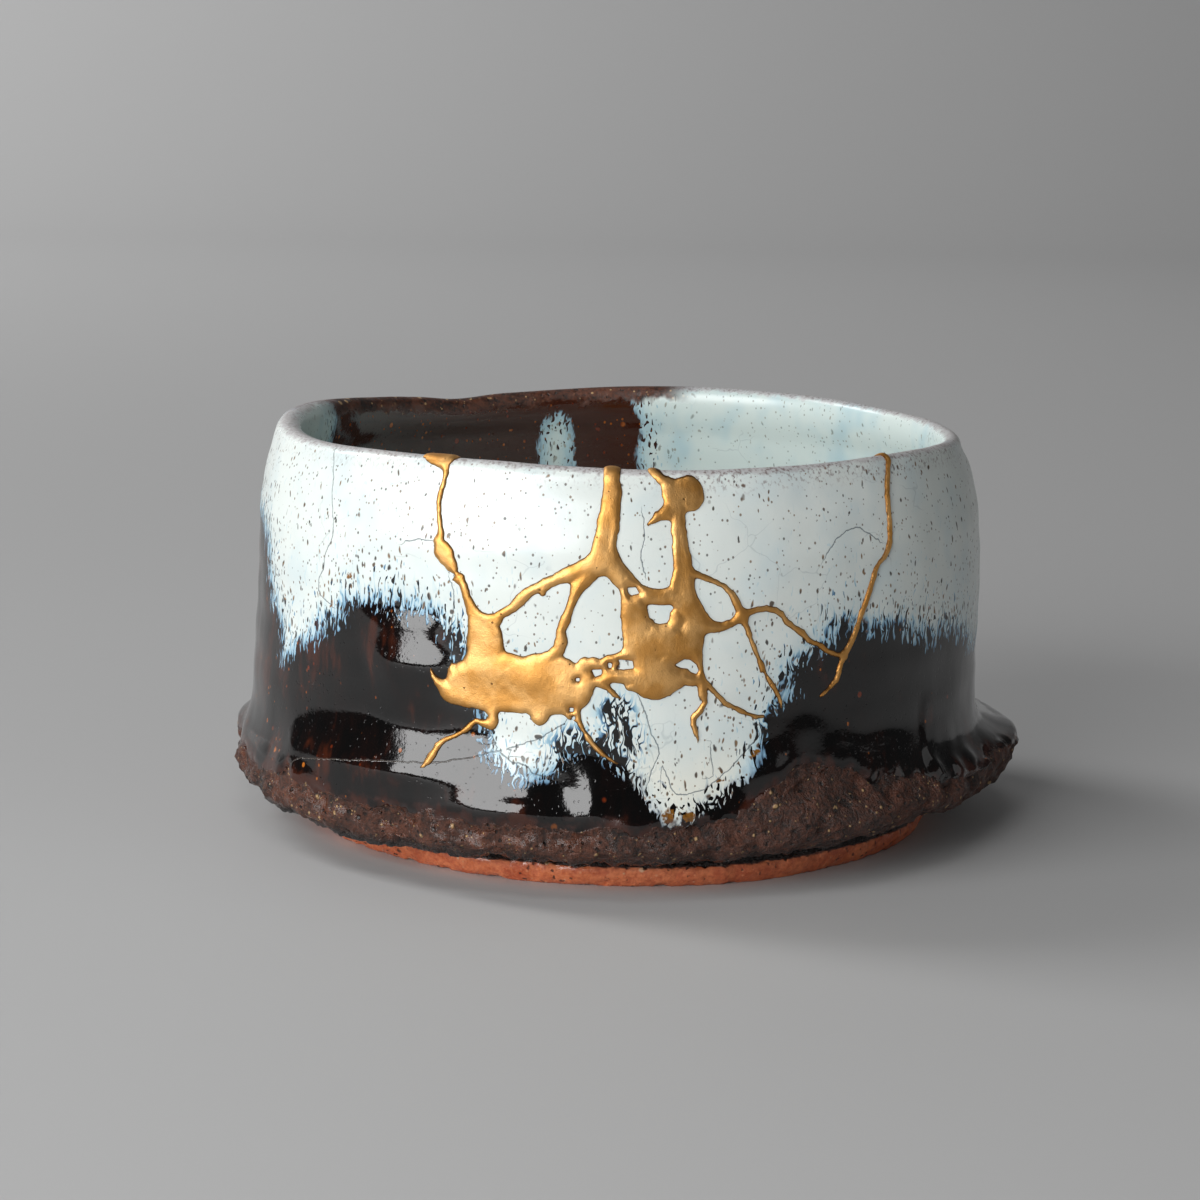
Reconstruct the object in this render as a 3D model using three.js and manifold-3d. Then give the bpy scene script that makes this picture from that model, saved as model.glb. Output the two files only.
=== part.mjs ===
// A wheel-thrown tea bowl, broken at its front and mended with lacquer and gold (kintsugi).
// Millimetres, +Z up. The foot stands on z = 0 and the front of the bowl faces -Y.
import * as THREE from "three";
import { mergeVertices } from "three/addons/utils/BufferGeometryUtils.js";
import Module from "manifold-3d";

// ---- Driving dimensions ----------------------------------------------------------------

const LIP_RADIUS = 60; // to the crest of the lip
const LIP_HEIGHT = 70.8; // mean height of the crest
const WALL_THICKNESS = 5;
const WALL_FOOT_HEIGHT = 20.5; // below this the wall spreads into the ledge
const AXIS_X = -1.0; // the throwing axis, off the middle of the uneven ledge
const AXIS_Y = -0.4;

const FOOT_RADIUS = 55.7; // outer edge of the standing ring
const FOOT_TOP_RADIUS = 57; // the raw clay foot widens upwards
const FOOT_HEIGHT = 3.3;
const FOOT_GROOVE = 0.6; // how deep the groove over the foot is cut in
const FOOT_INNER_RADIUS = 45;
const RECESS_RADIUS = 43.5; // the shallow recess under the bowl
const RECESS_DEPTH = 2;
const FLOOR_HEIGHT = 8.5; // the inside of the bowl, at its middle

const GOLD_PROUD = 0.45; // how far the gold stands out of the glaze
const JOINT_GAP = 0.3; // clearance between a sherd and the gold beside it

const PALE_GLAZE = 0xd6e4e8;
const DARK_GLAZE = 0x2a1c16;
const GOLD = 0xb98a45;

const COLUMNS = 68; // divisions round the bowl
const WALL_REFERENCE_RADIUS = 65; // the seams are laid out along a circle of this radius
const CUT_INNER_RADIUS = 48; // the seams' prisms run from here ...
const CUT_OUTER_RADIUS = 80; // ... to here, through the whole wall
const WIDE_DAB = 1.3; // half width from which a dab of the brush is drawn rounder

// ---- Helpers for a hand-made, uneven round form ----------------------------------------

const wasm = await Module();
wasm.setup();
const { lerp, degToRad } = THREE.MathUtils;

// A value that runs smoothly round the bowl through one value for each side.
function around({ front, right, back, left }) {
  const mean = (front + right + back + left) / 4;
  const oval = (right + left - front - back) / 4;
  return (angle) =>
    mean +
    ((right - left) / 2) * Math.cos(angle) +
    ((back - front) / 2) * Math.sin(angle) +
    oval * Math.cos(2 * angle);
}

// The sum of some waves round the bowl, each [size, number of crests, shift in radians].
function waves(list, angle) {
  return list.reduce((sum, [size, crests, shift]) => sum + size * Math.sin(crests * angle + shift), 0);
}

// The sum of some soft swellings, each [size, angle in degrees, half width in degrees].
function swellings(list, angle) {
  return list.reduce((sum, [size, centre, halfWidth]) => {
    const offset = angle - degToRad(centre);
    const turn = Math.atan2(Math.sin(offset), Math.cos(offset));
    const share = turn / degToRad(halfWidth);
    return sum + size * Math.exp(-share * share);
  }, 0);
}

// ---- The bowl's section, at one angle ---------------------------------------------------

// The crest of the lip rises and falls by under a millimetre, with a nick at the back left.
const LIP_WAVES = [[0.17, 2, 0.6], [0.36, 3, -1.7], [0.42, 4, 3.1], [0.25, 5, -0.4]];
const LIP_NICK = [[-0.6, 123, 7]];
const lipRadius = around({ front: LIP_RADIUS, right: 58.9, back: LIP_RADIUS, left: 60.2 });
const lipThickness = around({ front: 4.2, right: 3.6, back: 4.2, left: 4.8 });

// Outer wall: the radius at a few heights, the right side more upright than the left.
const WALL_STATIONS = [
  { height: WALL_FOOT_HEIGHT, radius: around({ front: 66.0, right: 65.2, back: 66.2, left: 66.9 }) },
  { height: 25, radius: around({ front: 65.6, right: 64.8, back: 66.0, left: 66.8 }) },
  { height: 31, radius: around({ front: 65.3, right: 64.6, back: 65.6, left: 66.3 }) },
  { height: 38, radius: around({ front: 65.3, right: 64.8, back: 65.4, left: 65.8 }) },
  { height: 52, radius: around({ front: 65.3, right: 64.4, back: 65.2, left: 65.6 }) },
  { height: 58, radius: around({ front: 64.9, right: 63.9, back: 64.8, left: 65.2 }) },
  { height: 62.5, radius: around({ front: 64.1, right: 62.9, back: 64.0, left: 64.4 }) },
  { height: 66, radius: around({ front: 63.1, right: 61.8, back: 63.0, left: 63.5 }) },
];

// The rough clay ledge above the foot: how far it reaches and how high its edge lies, and
// the fold where its underside turns back to the foot.
const ledgeReach = around({ front: 67.4, right: 70.0, back: 69.0, left: 69.8 });
const ledgeEdgeHeight = around({ front: 9.5, right: 14.6, back: 12.0, left: 11.4 });
const ledgeFoldRadius = around({ front: 61.2, right: 64.4, back: 63.0, left: 65.2 });
const ledgeFoldHeight = around({ front: 5.5, right: 7.0, back: 5.6, left: 5.2 });

// The ledge's lumps: a thick patch of clay at the front right, and two lobes with a nick
// between them at the left. A tongue of it sticks out at the right, its fold raised beside.
const LEDGE_WAVES = [[0.35, 7, 0.8], [0.25, 13, 2.1]];
const LEDGE_LUMPS = [[1.1, -57, 16], [1.8, 171, 9], [-0.7, 184, 5]];
const TONGUE = [[2.4, 2, 19]];
const FOLD_RISE = [[1.2, -38, 20]];
const FOOT_WAVES = [[0.3, 4, 1], [0.2, 9, 0]];

// Profile points (radius, height) from the middle of the underside, out and up the wall,
// over the lip and down to the middle of the inside. "grow" sets each one out into the air.
function section(angle, grow) {
  const lump = waves(LEDGE_WAVES, angle) + swellings(LEDGE_LUMPS, angle);
  const tongue = swellings(TONGUE, angle);
  const reach = ledgeReach(angle) + lump + tongue;
  const edge = ledgeEdgeHeight(angle) + 0.6 * lump;
  const foldRadius = ledgeFoldRadius(angle) + 0.5 * lump + 0.9 * tongue;
  const foldHeight = ledgeFoldHeight(angle) + 0.3 * lump + swellings(FOLD_RISE, angle);
  const footWave = waves(FOOT_WAVES, angle);
  const crest = LIP_HEIGHT + waves(LIP_WAVES, angle) + swellings(LIP_NICK, angle);
  const lip = lipRadius(angle);
  const half = lipThickness(angle) / 2;
  const wallFoot = WALL_STATIONS[0].radius(angle);

  const underside = [
    [28, RECESS_DEPTH],
    [RECESS_RADIUS, RECESS_DEPTH],
    [FOOT_INNER_RADIUS, 0],
  ];
  const foot = [
    [FOOT_RADIUS + footWave, 0],
    [FOOT_TOP_RADIUS + footWave, FOOT_HEIGHT],
    [FOOT_TOP_RADIUS - FOOT_GROOVE, FOOT_HEIGHT + 1.1],
  ];
  const ledge = [
    [foldRadius, foldHeight],
    [lerp(foldRadius, reach, 0.72), lerp(foldHeight, edge, 0.42)],
    [reach, edge],
    [reach - 0.4, edge + 1.4],
    [lerp(reach, wallFoot, 0.45), lerp(edge, WALL_FOOT_HEIGHT, 0.42)],
    [lerp(reach, wallFoot, 0.82), lerp(edge, WALL_FOOT_HEIGHT, 0.7)],
  ];
  const wall = WALL_STATIONS.map(({ height, radius }) => [radius(angle) + grow, height]);
  const rim = [
    [lip + half + grow, crest - 2.1],
    [lip + 0.72 * half + grow, crest - 0.7 + 0.7 * grow],
    [lip, crest + grow],
    [lip - 0.72 * half - grow, crest - 0.6 + 0.7 * grow],
    [lip - half - grow, crest - 2.4],
  ];
  const belly = WALL_REFERENCE_RADIUS - WALL_THICKNESS + 0.5;
  const inside = [
    [belly - 1.1 - grow, 61],
    [belly - grow, 52],
    [belly - grow, 42],
    [belly - 0.6 - grow, 28],
    [belly - 2.4 - grow, 19],
    [belly - 6 - grow, 13.8],
    [belly - 12, 10.8],
    [38, FLOOR_HEIGHT + 0.7],
    [20, FLOOR_HEIGHT + 0.1],
  ];
  return [...underside, ...foot, ...ledge, ...wall, ...rim, ...inside];
}

// A closed skin through the sections, with a single point at the middle of each end.
function turnedForm(grow) {
  const rows = Array.from({ length: COLUMNS }, (_, column) =>
    section((column / COLUMNS) * 2 * Math.PI, grow),
  );
  const perRow = rows[0].length;
  const positions = [];
  rows.forEach((row, column) => {
    const angle = (column / COLUMNS) * 2 * Math.PI;
    for (const [radius, height] of row)
      positions.push(radius * Math.cos(angle), radius * Math.sin(angle), height);
  });
  const bottom = positions.length / 3;
  positions.push(0, 0, RECESS_DEPTH);
  const top = bottom + 1;
  positions.push(0, 0, FLOOR_HEIGHT);
  const index = [];
  for (let column = 0; column < COLUMNS; column++) {
    const here = column * perRow;
    const next = ((column + 1) % COLUMNS) * perRow;
    index.push(bottom, next, here);
    index.push(top, here + perRow - 1, next + perRow - 1);
    for (let k = 0; k < perRow - 1; k++) {
      index.push(here + k, next + k, next + k + 1);
      index.push(here + k, next + k + 1, here + k + 1);
    }
  }
  const geometry = new THREE.BufferGeometry();
  geometry.setAttribute("position", new THREE.Float32BufferAttribute(positions, 3));
  geometry.setIndex(index);
  return geometry;
}

// ---- The gold seams ---------------------------------------------------------------------

// Each seam is a brush stroke on the wall: [along, height, half width]. "Along" is measured
// round the wall from the middle of the front, positive to the right.
const SEAMS = {
  lipChip: [[-37.6, 71.6, 0.6], [-34.6, 72.2, 2.4], [-31.8, 71.8, 1.2], [-30.2, 71.8, 0.6]],
  lipChipTip: [[-34, 71.6, 2.2], [-32.4, 69, 0.6], [-32, 67.5, 0.5]],
  leftSeam: [[-32, 67.5, 0.5], [-32.4, 63, 0.5], [-31.6, 58.8, 0.5]],
  leftDrop: [[-31.6, 58.8, 0.5], [-31, 57, 1.5], [-29.6, 55.4, 1.6], [-28, 53, 0.5]],
  leftSeamFoot: [[-28, 53, 0.5], [-26.5, 51.5, 0.8], [-25.5, 49.5, 0.8], [-24, 47, 1.2]],
  leftNeck: [[-24, 47, 1.2], [-23, 45.5, 2.5], [-22.6, 42, 3], [-23, 38, 3.4]],
  leftPool: [[-27, 33.4, 1.8], [-24.4, 34.8, 3.6], [-20, 36, 5.2], [-15, 35.2, 5.6]],
  leftPoolEnd: [[-15, 35.2, 5.6], [-10.5, 36, 5.2], [-7, 37, 3.2]],
  upperThorn: [[-26.5, 36.6, 1.4], [-31, 37, 0.4]],
  lowerThorn: [[-27, 34.4, 1.2], [-31, 34.4, 0.4]],
  poolLobe: [[-21.5, 31, 1.5], [-21, 28.5, 0.8]],
  poolDrip: [[-9, 33, 1.4], [-7.5, 30.5, 0.7]],
  arm: [[-23, 45.5, 1.4], [-19, 47.5, 1], [-15, 51, 1.1], [-9.5, 53.4, 1.3], [-3.5, 57, 1.9]],
  link: [[-6, 54, 1.6], [-7.6, 50.5, 1.1], [-9.4, 45, 0.7], [-9.6, 41, 1.4]],
  centreSeam: [[-2.5, 73, 1.5], [-2.2, 68, 1.4], [-2.5, 63.5, 1.7], [-3, 57, 2.2]],
  centreLeg: [[-3, 57, 2.2], [-0.5, 54, 2.1], [1.8, 50.6, 2.3]],
  stopperBar: [[3.6, 71.8, 0.6], [5.4, 71.2, 1], [8, 68.4, 1.6]],
  stopperHead: [[8.4, 67.4, 2.2], [10, 67, 2.9], [10.6, 66.4, 2.7]],
  stopperNeck: [[8.6, 66, 2.2], [8.8, 63.6, 1.5]],
  stopperSpur: [[7.4, 64, 1.2], [5, 63.4, 0.7], [3.6, 62, 0.4]],
  stem: [[8.8, 63.6, 1.4], [9.2, 57, 1.6], [9.6, 51.5, 2.2]],
  rightPoolTop: [[1.8, 50.6, 2.2], [6, 50.2, 1.5], [9.6, 50.4, 2]],
  rightPoolLeft: [[1.6, 48.6, 2.3], [1.6, 45.6, 2.5], [3, 43, 2.9]],
  rightPoolRight: [[10.4, 48.6, 2.1], [10.6, 45.6, 2.5], [11, 43, 2.2]],
  rightPoolMiddle: [[3.4, 43.4, 3], [7, 43.4, 3.1], [10.8, 43.4, 2.4]],
  rightPoolFill: [[4.6, 47.4, 1.4], [7.4, 47.2, 1.4]],
  rightPoolFoot: [[3, 40, 2.6], [5.2, 38.4, 3.8], [9.6, 38.6, 2.9], [12.4, 39.8, 1.4]],
  neck: [[-7, 38, 2.4], [-4, 38.4, 2.1], [-1.2, 38.4, 2.1], [2, 38.6, 2.6]],
  neckSpur: [[-3, 37, 1], [-1.6, 35.4, 0.5], [-0.4, 34, 0.4]],
  upperBranch: [[10.4, 54.6, 1.1], [14, 53.4, 0.6], [17, 52, 0.6], [19, 47.4, 0.8]],
  lowerBranch: [[12.4, 46.4, 1.8], [14.6, 45.6, 1], [17, 46, 0.7], [19, 47.4, 0.8]],
  arch: [[19, 47.4, 0.8], [21, 48.5, 0.6], [23.6, 49, 0.5], [26, 47.5, 0.5], [29, 44.8, 0.5]],
  archEnd: [[29, 44.8, 0.5], [34.5, 41.2, 0.5], [39.5, 39.4, 0.6]],
  longTail: [[19, 47.4, 0.7], [21, 42.5, 0.45], [26.4, 34, 0.45], [27, 31.4, 0.35]],
  poolTail: [[-8.4, 31.6, 0.9], [-5, 27, 0.5], [-2.5, 24.4, 0.4], [0, 23, 0.35]],
  rightTail: [[12.4, 38, 1.1], [14, 35.5, 0.6], [17.5, 32.4, 0.5], [23.5, 30.4, 0.4]],
  shortTail: [[13.2, 37, 0.9], [13.4, 34, 0.6], [12, 31, 0.5], [12.4, 27, 0.35]],
  leftTail: [[-21.5, 30.4, 1.3], [-25, 28, 0.6], [-28.5, 25.4, 0.6], [-33, 20.5, 0.35]],
  rightSeam: [[52, 73, 0.9], [50.6, 67, 0.7], [49, 61, 0.7], [47.4, 56.4, 0.7], [44, 52, 0.7]],
  rightSeamFoot: [[44, 52, 0.7], [41.4, 46, 0.6], [39.5, 39.4, 0.7], [38, 36, 0.6], [34.6, 33, 0.4]],
};

// The corners of one dab of the brush: a wide dab has more sides than a narrow one.
function dab([along, height, halfWidth], grow) {
  const sides = halfWidth < WIDE_DAB ? 5 : 6;
  const radius = halfWidth + grow;
  return Array.from({ length: sides }, (_, k) => {
    const turn = (k * 2 * Math.PI) / sides;
    return [along + radius * Math.cos(turn), height + radius * Math.sin(turn)];
  });
}

// The convex outline round some points, anticlockwise.
function outlineRound(points) {
  const sorted = [...points].sort((a, b) => a[0] - b[0] || a[1] - b[1]);
  const turns = (o, a, b) => (a[0] - o[0]) * (b[1] - o[1]) - (a[1] - o[1]) * (b[0] - o[0]);
  const chain = (list) => {
    const hull = [];
    for (const point of list) {
      while (hull.length > 1 && turns(hull.at(-2), hull.at(-1), point) <= 1e-9) hull.pop();
      hull.push(point);
    }
    return hull.slice(0, -1);
  };
  return [...chain(sorted), ...chain(sorted.reverse())];
}

// One piece of a stroke as a prism that runs straight out through the wall.
function strokePrism(from, to, grow) {
  const outline = outlineRound([...dab(from, grow), ...dab(to, grow)]);
  const shape = new THREE.Shape(outline.map(([x, y]) => new THREE.Vector2(x, y)));
  const depth = CUT_OUTER_RADIUS - CUT_INNER_RADIUS;
  const prism = new THREE.ExtrudeGeometry(shape, { depth, bevelEnabled: false, steps: 1 });
  const position = prism.getAttribute("position");
  for (let i = 0; i < position.count; i++) {
    const angle = position.getX(i) / WALL_REFERENCE_RADIUS - Math.PI / 2;
    const radius = CUT_INNER_RADIUS + position.getZ(i);
    const height = position.getY(i);
    position.setXYZ(i, radius * Math.cos(angle), radius * Math.sin(angle), height);
  }
  return prism;
}

// ---- Solids -----------------------------------------------------------------------------

function toSolid(geometry) {
  const bare = geometry.clone();
  bare.deleteAttribute("normal");
  bare.deleteAttribute("uv");
  const merged = mergeVertices(bare, 1e-4);
  return new wasm.Manifold(
    new wasm.Mesh({
      numProp: 3,
      vertProperties: new Float32Array(merged.getAttribute("position").array),
      triVerts: new Uint32Array(merged.index.array),
    }),
  );
}

function toGeometry(solid) {
  const { vertProperties, triVerts } = solid.getMesh();
  const geometry = new THREE.BufferGeometry();
  geometry.setAttribute("position", new THREE.BufferAttribute(vertProperties, 3));
  geometry.setIndex(new THREE.BufferAttribute(triVerts, 1));
  geometry.translate(AXIS_X, AXIS_Y, 0);
  geometry.computeVertexNormals();
  return geometry;
}

// Every stroke of the seams, joined into one network.
function seamNetwork(grow) {
  const prisms = Object.values(SEAMS).flatMap((stroke) =>
    stroke.slice(1).map((dabPoint, k) => toSolid(strokePrism(stroke[k], dabPoint, grow))),
  );
  return prisms.reduce((joined, prism) => joined.add(prism));
}

const bowl = toSolid(turnedForm(0));
const gold = toSolid(turnedForm(GOLD_PROUD)).intersect(seamNetwork(0));
const sherds = bowl
  .subtract(seamNetwork(JOINT_GAP))
  .decompose()
  .sort((a, b) => a.volume() - b.volume());

// A spot in the middle of each sherd: along the wall from the front, and height.
const SHERD_SPOTS = {
  bowl_body: [0, 14],
  rim_sherd_left: [-18, 60],
  rim_sherd_middle: [3, 60],
  rim_sherd_right: [30, 55],
  wall_sherd_left: [-14, 46],
  wall_sherd_middle: [-4, 48],
  wall_sherd_right: [14, 50],
};

// The smallest sherd whose box holds the spot.
function sherdAt([along, height]) {
  const angle = along / WALL_REFERENCE_RADIUS - Math.PI / 2;
  const radius = WALL_REFERENCE_RADIUS - WALL_THICKNESS / 2;
  const spot = [radius * Math.cos(angle), radius * Math.sin(angle), height];
  return sherds.find((solid) => {
    const { min, max } = solid.boundingBox();
    return spot.every((value, axis) => min[axis] < value && value < max[axis]);
  });
}

// ---- The assembled bowl -----------------------------------------------------------------

const root = new THREE.Group();
root.name = "kintsugi_bowl";

function addPiece(name, solid, color, roughness, metalness) {
  const material = new THREE.MeshStandardMaterial({ color, roughness, metalness });
  const mesh = new THREE.Mesh(toGeometry(solid), material);
  mesh.name = name;
  root.add(mesh);
}

for (const [name, spot] of Object.entries(SHERD_SPOTS))
  addPiece(name, sherdAt(spot), name === "bowl_body" ? DARK_GLAZE : PALE_GLAZE, 0.25, 0);
addPiece("gold_seams", gold, GOLD, 0.35, 1);

export default root;
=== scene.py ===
# %% [markdown]
# # A tea bowl mended with gold
# A thrown and glazed tea bowl was broken at its front and put together again with lacquer and
# gold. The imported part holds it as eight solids: the bowl, six sherds and the gold between
# them. It is loaded first, and it stays where it is. Everything made here is set over it.

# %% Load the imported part
import math

import bpy
import numpy as np
from mathutils import Matrix, Vector


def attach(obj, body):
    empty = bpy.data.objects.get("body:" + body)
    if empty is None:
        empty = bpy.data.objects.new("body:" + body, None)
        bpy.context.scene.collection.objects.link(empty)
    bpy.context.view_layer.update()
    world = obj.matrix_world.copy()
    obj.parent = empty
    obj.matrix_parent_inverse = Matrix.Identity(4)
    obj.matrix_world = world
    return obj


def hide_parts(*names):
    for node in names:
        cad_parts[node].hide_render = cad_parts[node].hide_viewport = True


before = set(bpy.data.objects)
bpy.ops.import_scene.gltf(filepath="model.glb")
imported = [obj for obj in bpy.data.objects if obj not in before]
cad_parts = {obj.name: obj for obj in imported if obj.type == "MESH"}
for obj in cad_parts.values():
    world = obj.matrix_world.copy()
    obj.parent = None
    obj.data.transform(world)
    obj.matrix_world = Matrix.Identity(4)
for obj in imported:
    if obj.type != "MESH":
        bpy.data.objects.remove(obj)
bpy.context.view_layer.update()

# %% [markdown]
# The real bowl was thrown on a wheel and then went out of round as it was handled and fired.
# A turned profile alone would be too even. So each measure of the section is a value that runs
# smoothly round the bowl through one value for each side, with a few waves and swellings on
# top. Heights and radii are in millimetres, and angles start at the right side.

# %% Uneven round measures
MM = 0.001
FRONT = -math.pi / 2
TURN = 2 * math.pi


def around(angle, front, right, back, left):
    """A measure that runs smoothly round the bowl through its value on each side."""
    mean = (front + right + back + left) / 4
    oval = (right + left - front - back) / 4
    sideways = (right - left) / 2 * np.cos(angle)
    lengthways = (back - front) / 2 * np.sin(angle)
    return mean + sideways + lengthways + oval * np.cos(2 * angle)


def waves(angle, *parts):
    """The sum of waves round the bowl, each (size, number of crests, shift)."""
    return sum(size * np.sin(crests * angle + shift) for size, crests, shift in parts)


def swellings(angle, *parts):
    """The sum of soft swellings, each (size, angle in degrees, half width in degrees)."""
    total = np.zeros_like(angle)
    for size, centre, half_width in parts:
        offset = angle - math.radians(centre)
        turn = np.arctan2(np.sin(offset), np.cos(offset))
        total = total + size * np.exp(-((turn / math.radians(half_width)) ** 2))
    return total

# %% [markdown]
# The section goes from the middle of the underside, out over the foot, along the rough ledge
# of clay, up the wall, over the lip and down to the middle of the inside. It is the section of
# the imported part, point for point, so that the fine surface keeps the solid's form.

# %% The bowl's section
AXIS = np.array([-1.0, -0.4, 0.0])
LIP_HEIGHT = 70.8
WALL_THICKNESS = 5.0
WALL_FOOT_HEIGHT = 20.5
REFERENCE_RADIUS = 65.0
FOOT_RADIUS = 55.7
FOOT_TOP_RADIUS = 57.0
FOOT_HEIGHT = 3.3
FOOT_GROOVE = 0.6
FOOT_INNER_RADIUS = 45.0
RECESS_RADIUS = 43.5
RECESS_DEPTH = 2.0
FLOOR_HEIGHT = 8.5

WALL_STATIONS = [
    (20.5, (66.0, 65.2, 66.2, 66.9)),
    (25.0, (65.6, 64.8, 66.0, 66.8)),
    (31.0, (65.3, 64.6, 65.6, 66.3)),
    (38.0, (65.3, 64.8, 65.4, 65.8)),
    (52.0, (65.3, 64.4, 65.2, 65.6)),
    (58.0, (64.9, 63.9, 64.8, 65.2)),
    (62.5, (64.1, 62.9, 64.0, 64.4)),
    (66.0, (63.1, 61.8, 63.0, 63.5)),
]


def lip_crest(angle):
    """How high the lip stands, with its waves and the nick at the back left."""
    rise = waves(angle, (0.17, 2, 0.6), (0.36, 3, -1.7), (0.42, 4, 3.1), (0.25, 5, -0.4))
    return LIP_HEIGHT + rise + swellings(angle, (-0.6, 123, 7))


def lip_radius(angle):
    """How far out the crest of the lip lies."""
    return around(angle, 60.0, 58.9, 60.0, 60.2)


def between(start, end, share):
    """The value at a share of the way from start to end."""
    return start + (end - start) * share


def section_points(angle):
    """Profile points at each angle: an array of points x angles x (radius, height)."""
    lump = waves(angle, (0.35, 7, 0.8), (0.25, 13, 2.1))
    lump = lump + swellings(angle, (1.1, -57, 16), (1.8, 171, 9), (-0.7, 184, 5))
    tongue = swellings(angle, (2.4, 2, 19))
    reach = around(angle, 67.4, 70.0, 69.0, 69.8) + lump + tongue
    edge = around(angle, 9.5, 14.6, 12.0, 11.4) + 0.6 * lump
    fold_radius = around(angle, 61.2, 64.4, 63.0, 65.2) + 0.5 * lump + 0.9 * tongue
    fold_height = around(angle, 5.5, 7.0, 5.6, 5.2) + 0.3 * lump
    fold_height = fold_height + swellings(angle, (1.2, -38, 20))
    foot_wave = waves(angle, (0.3, 4, 1.0), (0.2, 9, 0.0))
    crest = lip_crest(angle)
    lip = lip_radius(angle)
    half = around(angle, 4.2, 3.6, 4.2, 4.8) / 2
    wall_foot = around(angle, *WALL_STATIONS[0][1])
    belly = REFERENCE_RADIUS - WALL_THICKNESS + 0.5
    points = [
        (0.0, RECESS_DEPTH),
        (28.0, RECESS_DEPTH),
        (RECESS_RADIUS, RECESS_DEPTH),
        (FOOT_INNER_RADIUS, 0.0),
        (FOOT_RADIUS - 0.5 + foot_wave, 0.0),
        (FOOT_RADIUS + 0.05 + foot_wave, 0.5),
        (FOOT_TOP_RADIUS + foot_wave, FOOT_HEIGHT),
        (FOOT_TOP_RADIUS - FOOT_GROOVE, FOOT_HEIGHT + 1.1),
        (fold_radius, fold_height),
        (between(fold_radius, reach, 0.72), between(fold_height, edge, 0.42)),
        (reach, edge),
        (reach - 0.4, edge + 1.4),
        (between(reach, wall_foot, 0.45), between(edge, WALL_FOOT_HEIGHT, 0.42)),
        (between(reach, wall_foot, 0.82), between(edge, WALL_FOOT_HEIGHT, 0.7)),
    ]
    points += [(around(angle, *sides), height) for height, sides in WALL_STATIONS]
    points += [
        (lip + half, crest - 2.1),
        (lip + 0.72 * half, crest - 0.7),
        (lip, crest),
        (lip - 0.72 * half, crest - 0.6),
        (lip - half, crest - 2.4),
        (belly - 1.1, 61.0),
        (belly, 52.0),
        (belly, 42.0),
        (belly - 0.6, 28.0),
        (belly - 2.4, 19.0),
        (belly - 6.0, 13.8),
        (belly - 12.0, 10.8),
        (38.0, FLOOR_HEIGHT + 0.7),
        (20.0, FLOOR_HEIGHT + 0.1),
        (0.0, FLOOR_HEIGHT),
    ]
    flat = np.ones_like(angle)
    return np.array([(radius * flat, height * flat) for radius, height in points])

# %% [markdown]
# A smooth line has to pass through those points. A subdivision surface would shrink away from
# them, so a cubic through each point is used instead, with a corner kept only at the edges of
# the foot and the recess. The same line gives the clay and, later, the gold that lies on it.
# Lengths along the mean line, in millimetres, say where the foot, the groove, the fold of the
# ledge, the wall, the lip and the floor begin.

# %% A smooth line through the section
CORNERS = {2, 3}
COUNT_ROUND = 540

turn_angles = np.arange(COUNT_ROUND) * TURN / COUNT_ROUND
mean_points = section_points(turn_angles).transpose(0, 2, 1).mean(axis=1)
knots = np.concatenate([[0], np.cumsum(np.linalg.norm(np.diff(mean_points, axis=0), axis=1))])
LINE_FOOT_INNER, LINE_FOOT_OUTER, LINE_FOOT_TOP = knots[3], knots[4], knots[6]
LINE_GROOVE, LINE_FOLD, LINE_LEDGE = knots[7], knots[8], knots[9]
LINE_WALL, LINE_LIP, LINE_FLOOR = knots[12], knots[24], knots[33]


def slopes(points):
    """The direction of the line at each point, one at each side of it."""
    gaps = np.diff(knots).reshape(-1, 1, 1)
    rises = np.diff(points, axis=0) / gaps
    leaving = np.concatenate([rises, rises[-1:]])
    arriving = np.concatenate([rises[:1], rises])
    before = np.concatenate([gaps[:1], gaps])
    after = np.concatenate([gaps, gaps[-1:]])
    smooth = (arriving * after + leaving * before) / (before + after)
    keep = np.array([k in CORNERS for k in range(len(points))]).reshape(-1, 1, 1)
    return np.where(keep, arriving, smooth), np.where(keep, leaving, smooth)


def on_section(angle, along_line):
    """Radius and height at each angle, at a length along the mean section line."""
    angle = np.asarray(angle, float)
    points = section_points(angle).transpose(0, 2, 1)
    arriving, leaving = slopes(points)
    piece = np.clip(np.searchsorted(knots, along_line, side="right") - 1, 0, len(knots) - 2)
    pick = (piece, np.arange(len(angle)))
    after = (piece + 1, np.arange(len(angle)))
    gap = (knots[piece + 1] - knots[piece])[:, None]
    share = ((along_line - knots[piece])[:, None]) / gap
    square = share * share
    cube = square * share
    start = points[pick] * (2 * cube - 3 * square + 1)
    end = points[after] * (3 * square - 2 * cube)
    start_slope = leaving[pick] * gap * (cube - 2 * square + share)
    end_slope = arriving[after] * gap * (cube - square)
    place = start + end + start_slope + end_slope
    return place[:, 0], place[:, 1]


print("section line:", round(knots[-1], 1), "mm long, lip at", round(LINE_LIP, 1))

# %% [markdown]
# Hands, tools and a runny glaze leave a surface uneven at many sizes. Blender's noise textures
# only live in materials, so a small lattice noise in numpy gives the same kind of lumps to the
# mesh. It is seeded by number, so the bowl comes out the same each time.

# %% Lumps for the surface
LATTICE = 64


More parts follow.
